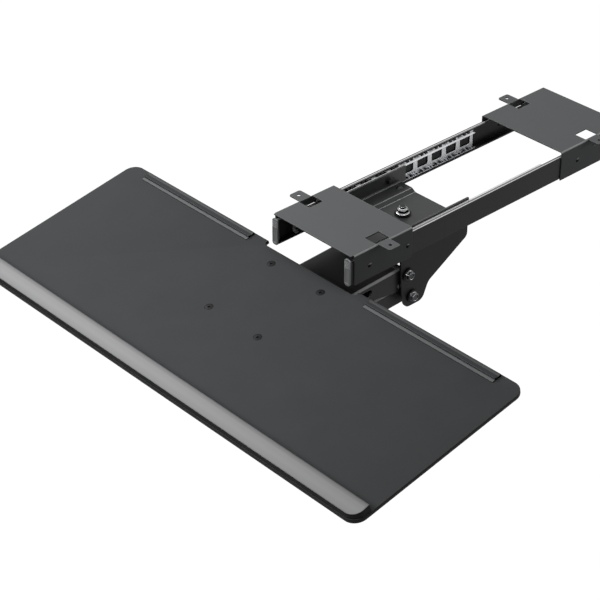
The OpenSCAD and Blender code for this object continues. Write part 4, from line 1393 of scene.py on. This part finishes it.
    def build(self) -> None:
        """Builds, dresses and hands over the lift arm's detailed pieces."""
        nut = self.swivel_nut()
        dress(nut, BLACK_OXIDE)
        hand_over(nut, "carriage", "swivel_nut")
        pins = spread(self.pivot_pin(), ((0, *pivot) for pivot in self.pivots))
        for pin, node in zip(pins, ("upper_pivot_pin", "lower_pivot_pin")):
            dress(named(pin, f"{node}_piece"), BLACK_OXIDE)
            hand_over(pin, "turret", node)
        nuts = self.pivot_nuts()
        dress(nuts, BLACK_OXIDE)
        hand_over(nuts, "turret", "pivot_nuts")
        self.spring()
        knob = self.knob()
        dress(knob, KNOB_PLASTIC)
        hand_over(knob, "knob", "tilt_knob")


@dataclass(frozen=True)
class Lamp:
    """One soft square lamp.

    Attributes:
        name: Name of the lamp.
        place: Where it stands.
        target: Where it points.
        size: Length of its side.
        power: Power in watts.
    """

    name: str
    place: tuple[float, float, float]
    target: tuple[float, float, float]
    size: float
    power: float

    def light(self) -> None:
        """Sets the lamp up."""
        data = bpy.data.lights.new(self.name, "AREA")
        data.shape, data.size, data.energy = "SQUARE", self.size, self.power
        lamp = bpy.data.objects.new(self.name, data)
        lamp.location = self.place
        run = Vector(self.target) - Vector(self.place)
        lamp.rotation_euler = run.to_track_quat("-Z", "Y").to_euler()
        bpy.context.scene.collection.objects.link(lamp)


@dataclass
class Studio:
    """Camera, lights and floor."""

    camera_place: Vector = field(default_factory=lambda: Vector((1.4176, -1.5480, 1.1738)))
    azimuth: float = math.radians(47.65)
    elevation: float = math.radians(33.22)
    roll: float = math.radians(-0.31)
    lens: float = 116.3
    sensor: float = 36.0
    far_end: float = 100.0
    floor_z: float = -0.72
    floor_half: float = 30.0
    ambient: float = 0.14
    paper: float = 0.3
    paper_white: float = 1.12
    paper_share: float = 0.9
    lamps: tuple[Lamp, ...] = (
        Lamp("left_key", (-1.0, -0.25, 0.85), (0, -0.25, -0.05), 0.5, 10.4),
        Lamp("front_low", (-0.1, -1.15, 0.5), (0.15, -0.38, -0.08), 0.4, 5),
        Lamp("overhead", (0, 0.35, 2.3), (0, -0.1, 0), 0.8, 9.5),
        Lamp("right_rear", (0.9, 0.9, 0.2), (0.07, 0.25, -0.03), 0.5, 5),
    )

    def camera(self) -> None:
        """Sets the camera at the photograph's viewpoint."""
        a, e, r = self.azimuth, self.elevation, self.roll
        back = Vector((math.sin(a) * math.cos(e), -math.cos(a) * math.cos(e), math.sin(e)))
        right = Vector((math.cos(a), math.sin(a), 0))
        up = back.cross(right)
        turned_right = right * math.cos(r) + up * math.sin(r)
        turned_up = up * math.cos(r) - right * math.sin(r)
        data = bpy.data.cameras.new("camera")
        data.lens, data.sensor_width, data.clip_end = self.lens, self.sensor, self.far_end
        camera = bpy.data.objects.new("camera", data)
        turn = Matrix((turned_right, turned_up, back)).transposed().to_4x4()
        camera.matrix_world = Matrix.Translation(self.camera_place) @ turn
        bpy.context.scene.collection.objects.link(camera)
        bpy.context.scene.camera = camera

    def shown_white(self, tree: bpy.types.NodeTree, plain: bpy.types.Node, white: bpy.types.Node,
                    share: float) -> bpy.types.Node:
        """Shows white to the camera, mirrors and clear things, and the plain shader to all other light.

        Args:
            tree: Nodes of the world or material.
            plain: Shader that lights the object.
            white: Shader of the white.
            share: How much of the white replaces the plain shader.

        Returns:
            The mixed shader.
        """
        path = tree.nodes.new("ShaderNodeLightPath")
        seen = path.outputs["Is Camera Ray"]
        for ray in ("Is Glossy Ray", "Is Transmission Ray"):
            seen = computed(tree, "MAXIMUM", seen, path.outputs[ray])
        mix = tree.nodes.new("ShaderNodeMixShader")
        tree.links.new(computed(tree, "MULTIPLY", seen, share), mix.inputs[0])
        tree.links.new(plain.outputs[0], mix.inputs[1])
        tree.links.new(white.outputs[0], mix.inputs[2])
        return mix

    def world(self) -> None:
        """Faint even light from all round, shown as white."""
        world = bpy.data.worlds.new("studio")
        bpy.context.scene.world = world
        world.use_nodes = True
        tree = world.node_tree
        plain, white = tree.nodes["Background"], tree.nodes.new("ShaderNodeBackground")
        for shader, strength in ((plain, self.ambient), (white, 1.0)):
            shader.inputs["Color"].default_value = (1, 1, 1, 1)
            shader.inputs["Strength"].default_value = strength
        mix = self.shown_white(tree, plain, white, 1.0)
        tree.links.new(mix.outputs[0], tree.nodes["World Output"].inputs["Surface"])

    def floor(self) -> None:
        """Grey paper under the tray, shown as white with a faint shadow."""
        clear_selection()
        bpy.ops.mesh.primitive_plane_add(size=2 * self.floor_half, location=(0, 0, self.floor_z))
        floor = bpy.context.object
        floor.name = "floor"
        material = bpy.data.materials.new("floor_paper")
        material.use_nodes = True
        tree = material.node_tree
        paper = tree.nodes["Principled BSDF"]
        paper.inputs["Base Color"].default_value = (self.paper, self.paper, self.paper, 1)
        paper.inputs["Roughness"].default_value = 0.9
        white = tree.nodes.new("ShaderNodeEmission")
        white.inputs["Strength"].default_value = self.paper_white
        mix = self.shown_white(tree, paper, white, self.paper_share)
        tree.links.new(mix.outputs[0], tree.nodes["Material Output"].inputs["Surface"])
        floor.data.materials.append(material)

    def build(self) -> None:
        """Sets up the whole studio."""
        self.camera()
        self.world()
        self.floor()
        for lamp in self.lamps:
            lamp.light()
        bpy.context.scene.view_settings.view_transform = "Standard"


def coat_nodes(nodes: dict[str, bpy.types.Object]) -> None:
    """Gives the nodes that keep their own shape their finishes.

    Args:
        nodes: The frame's nodes by name.
    """
    for name, piece in nodes.items():
        if name in COATS:
            dress(piece, COATS[name])
            LOG.info("%s: coated with %s", name, COATS[name].name)


def main() -> None:
    """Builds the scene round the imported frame."""
    logging.basicConfig(level=logging.INFO, format="%(name)s: %(message)s")
    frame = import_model()
    Studio().build()
    coat_nodes(frame["nodes"])
    Tray().build()
    Track().build()
    LiftArm().build()


if __name__ == "__main__":
    main()
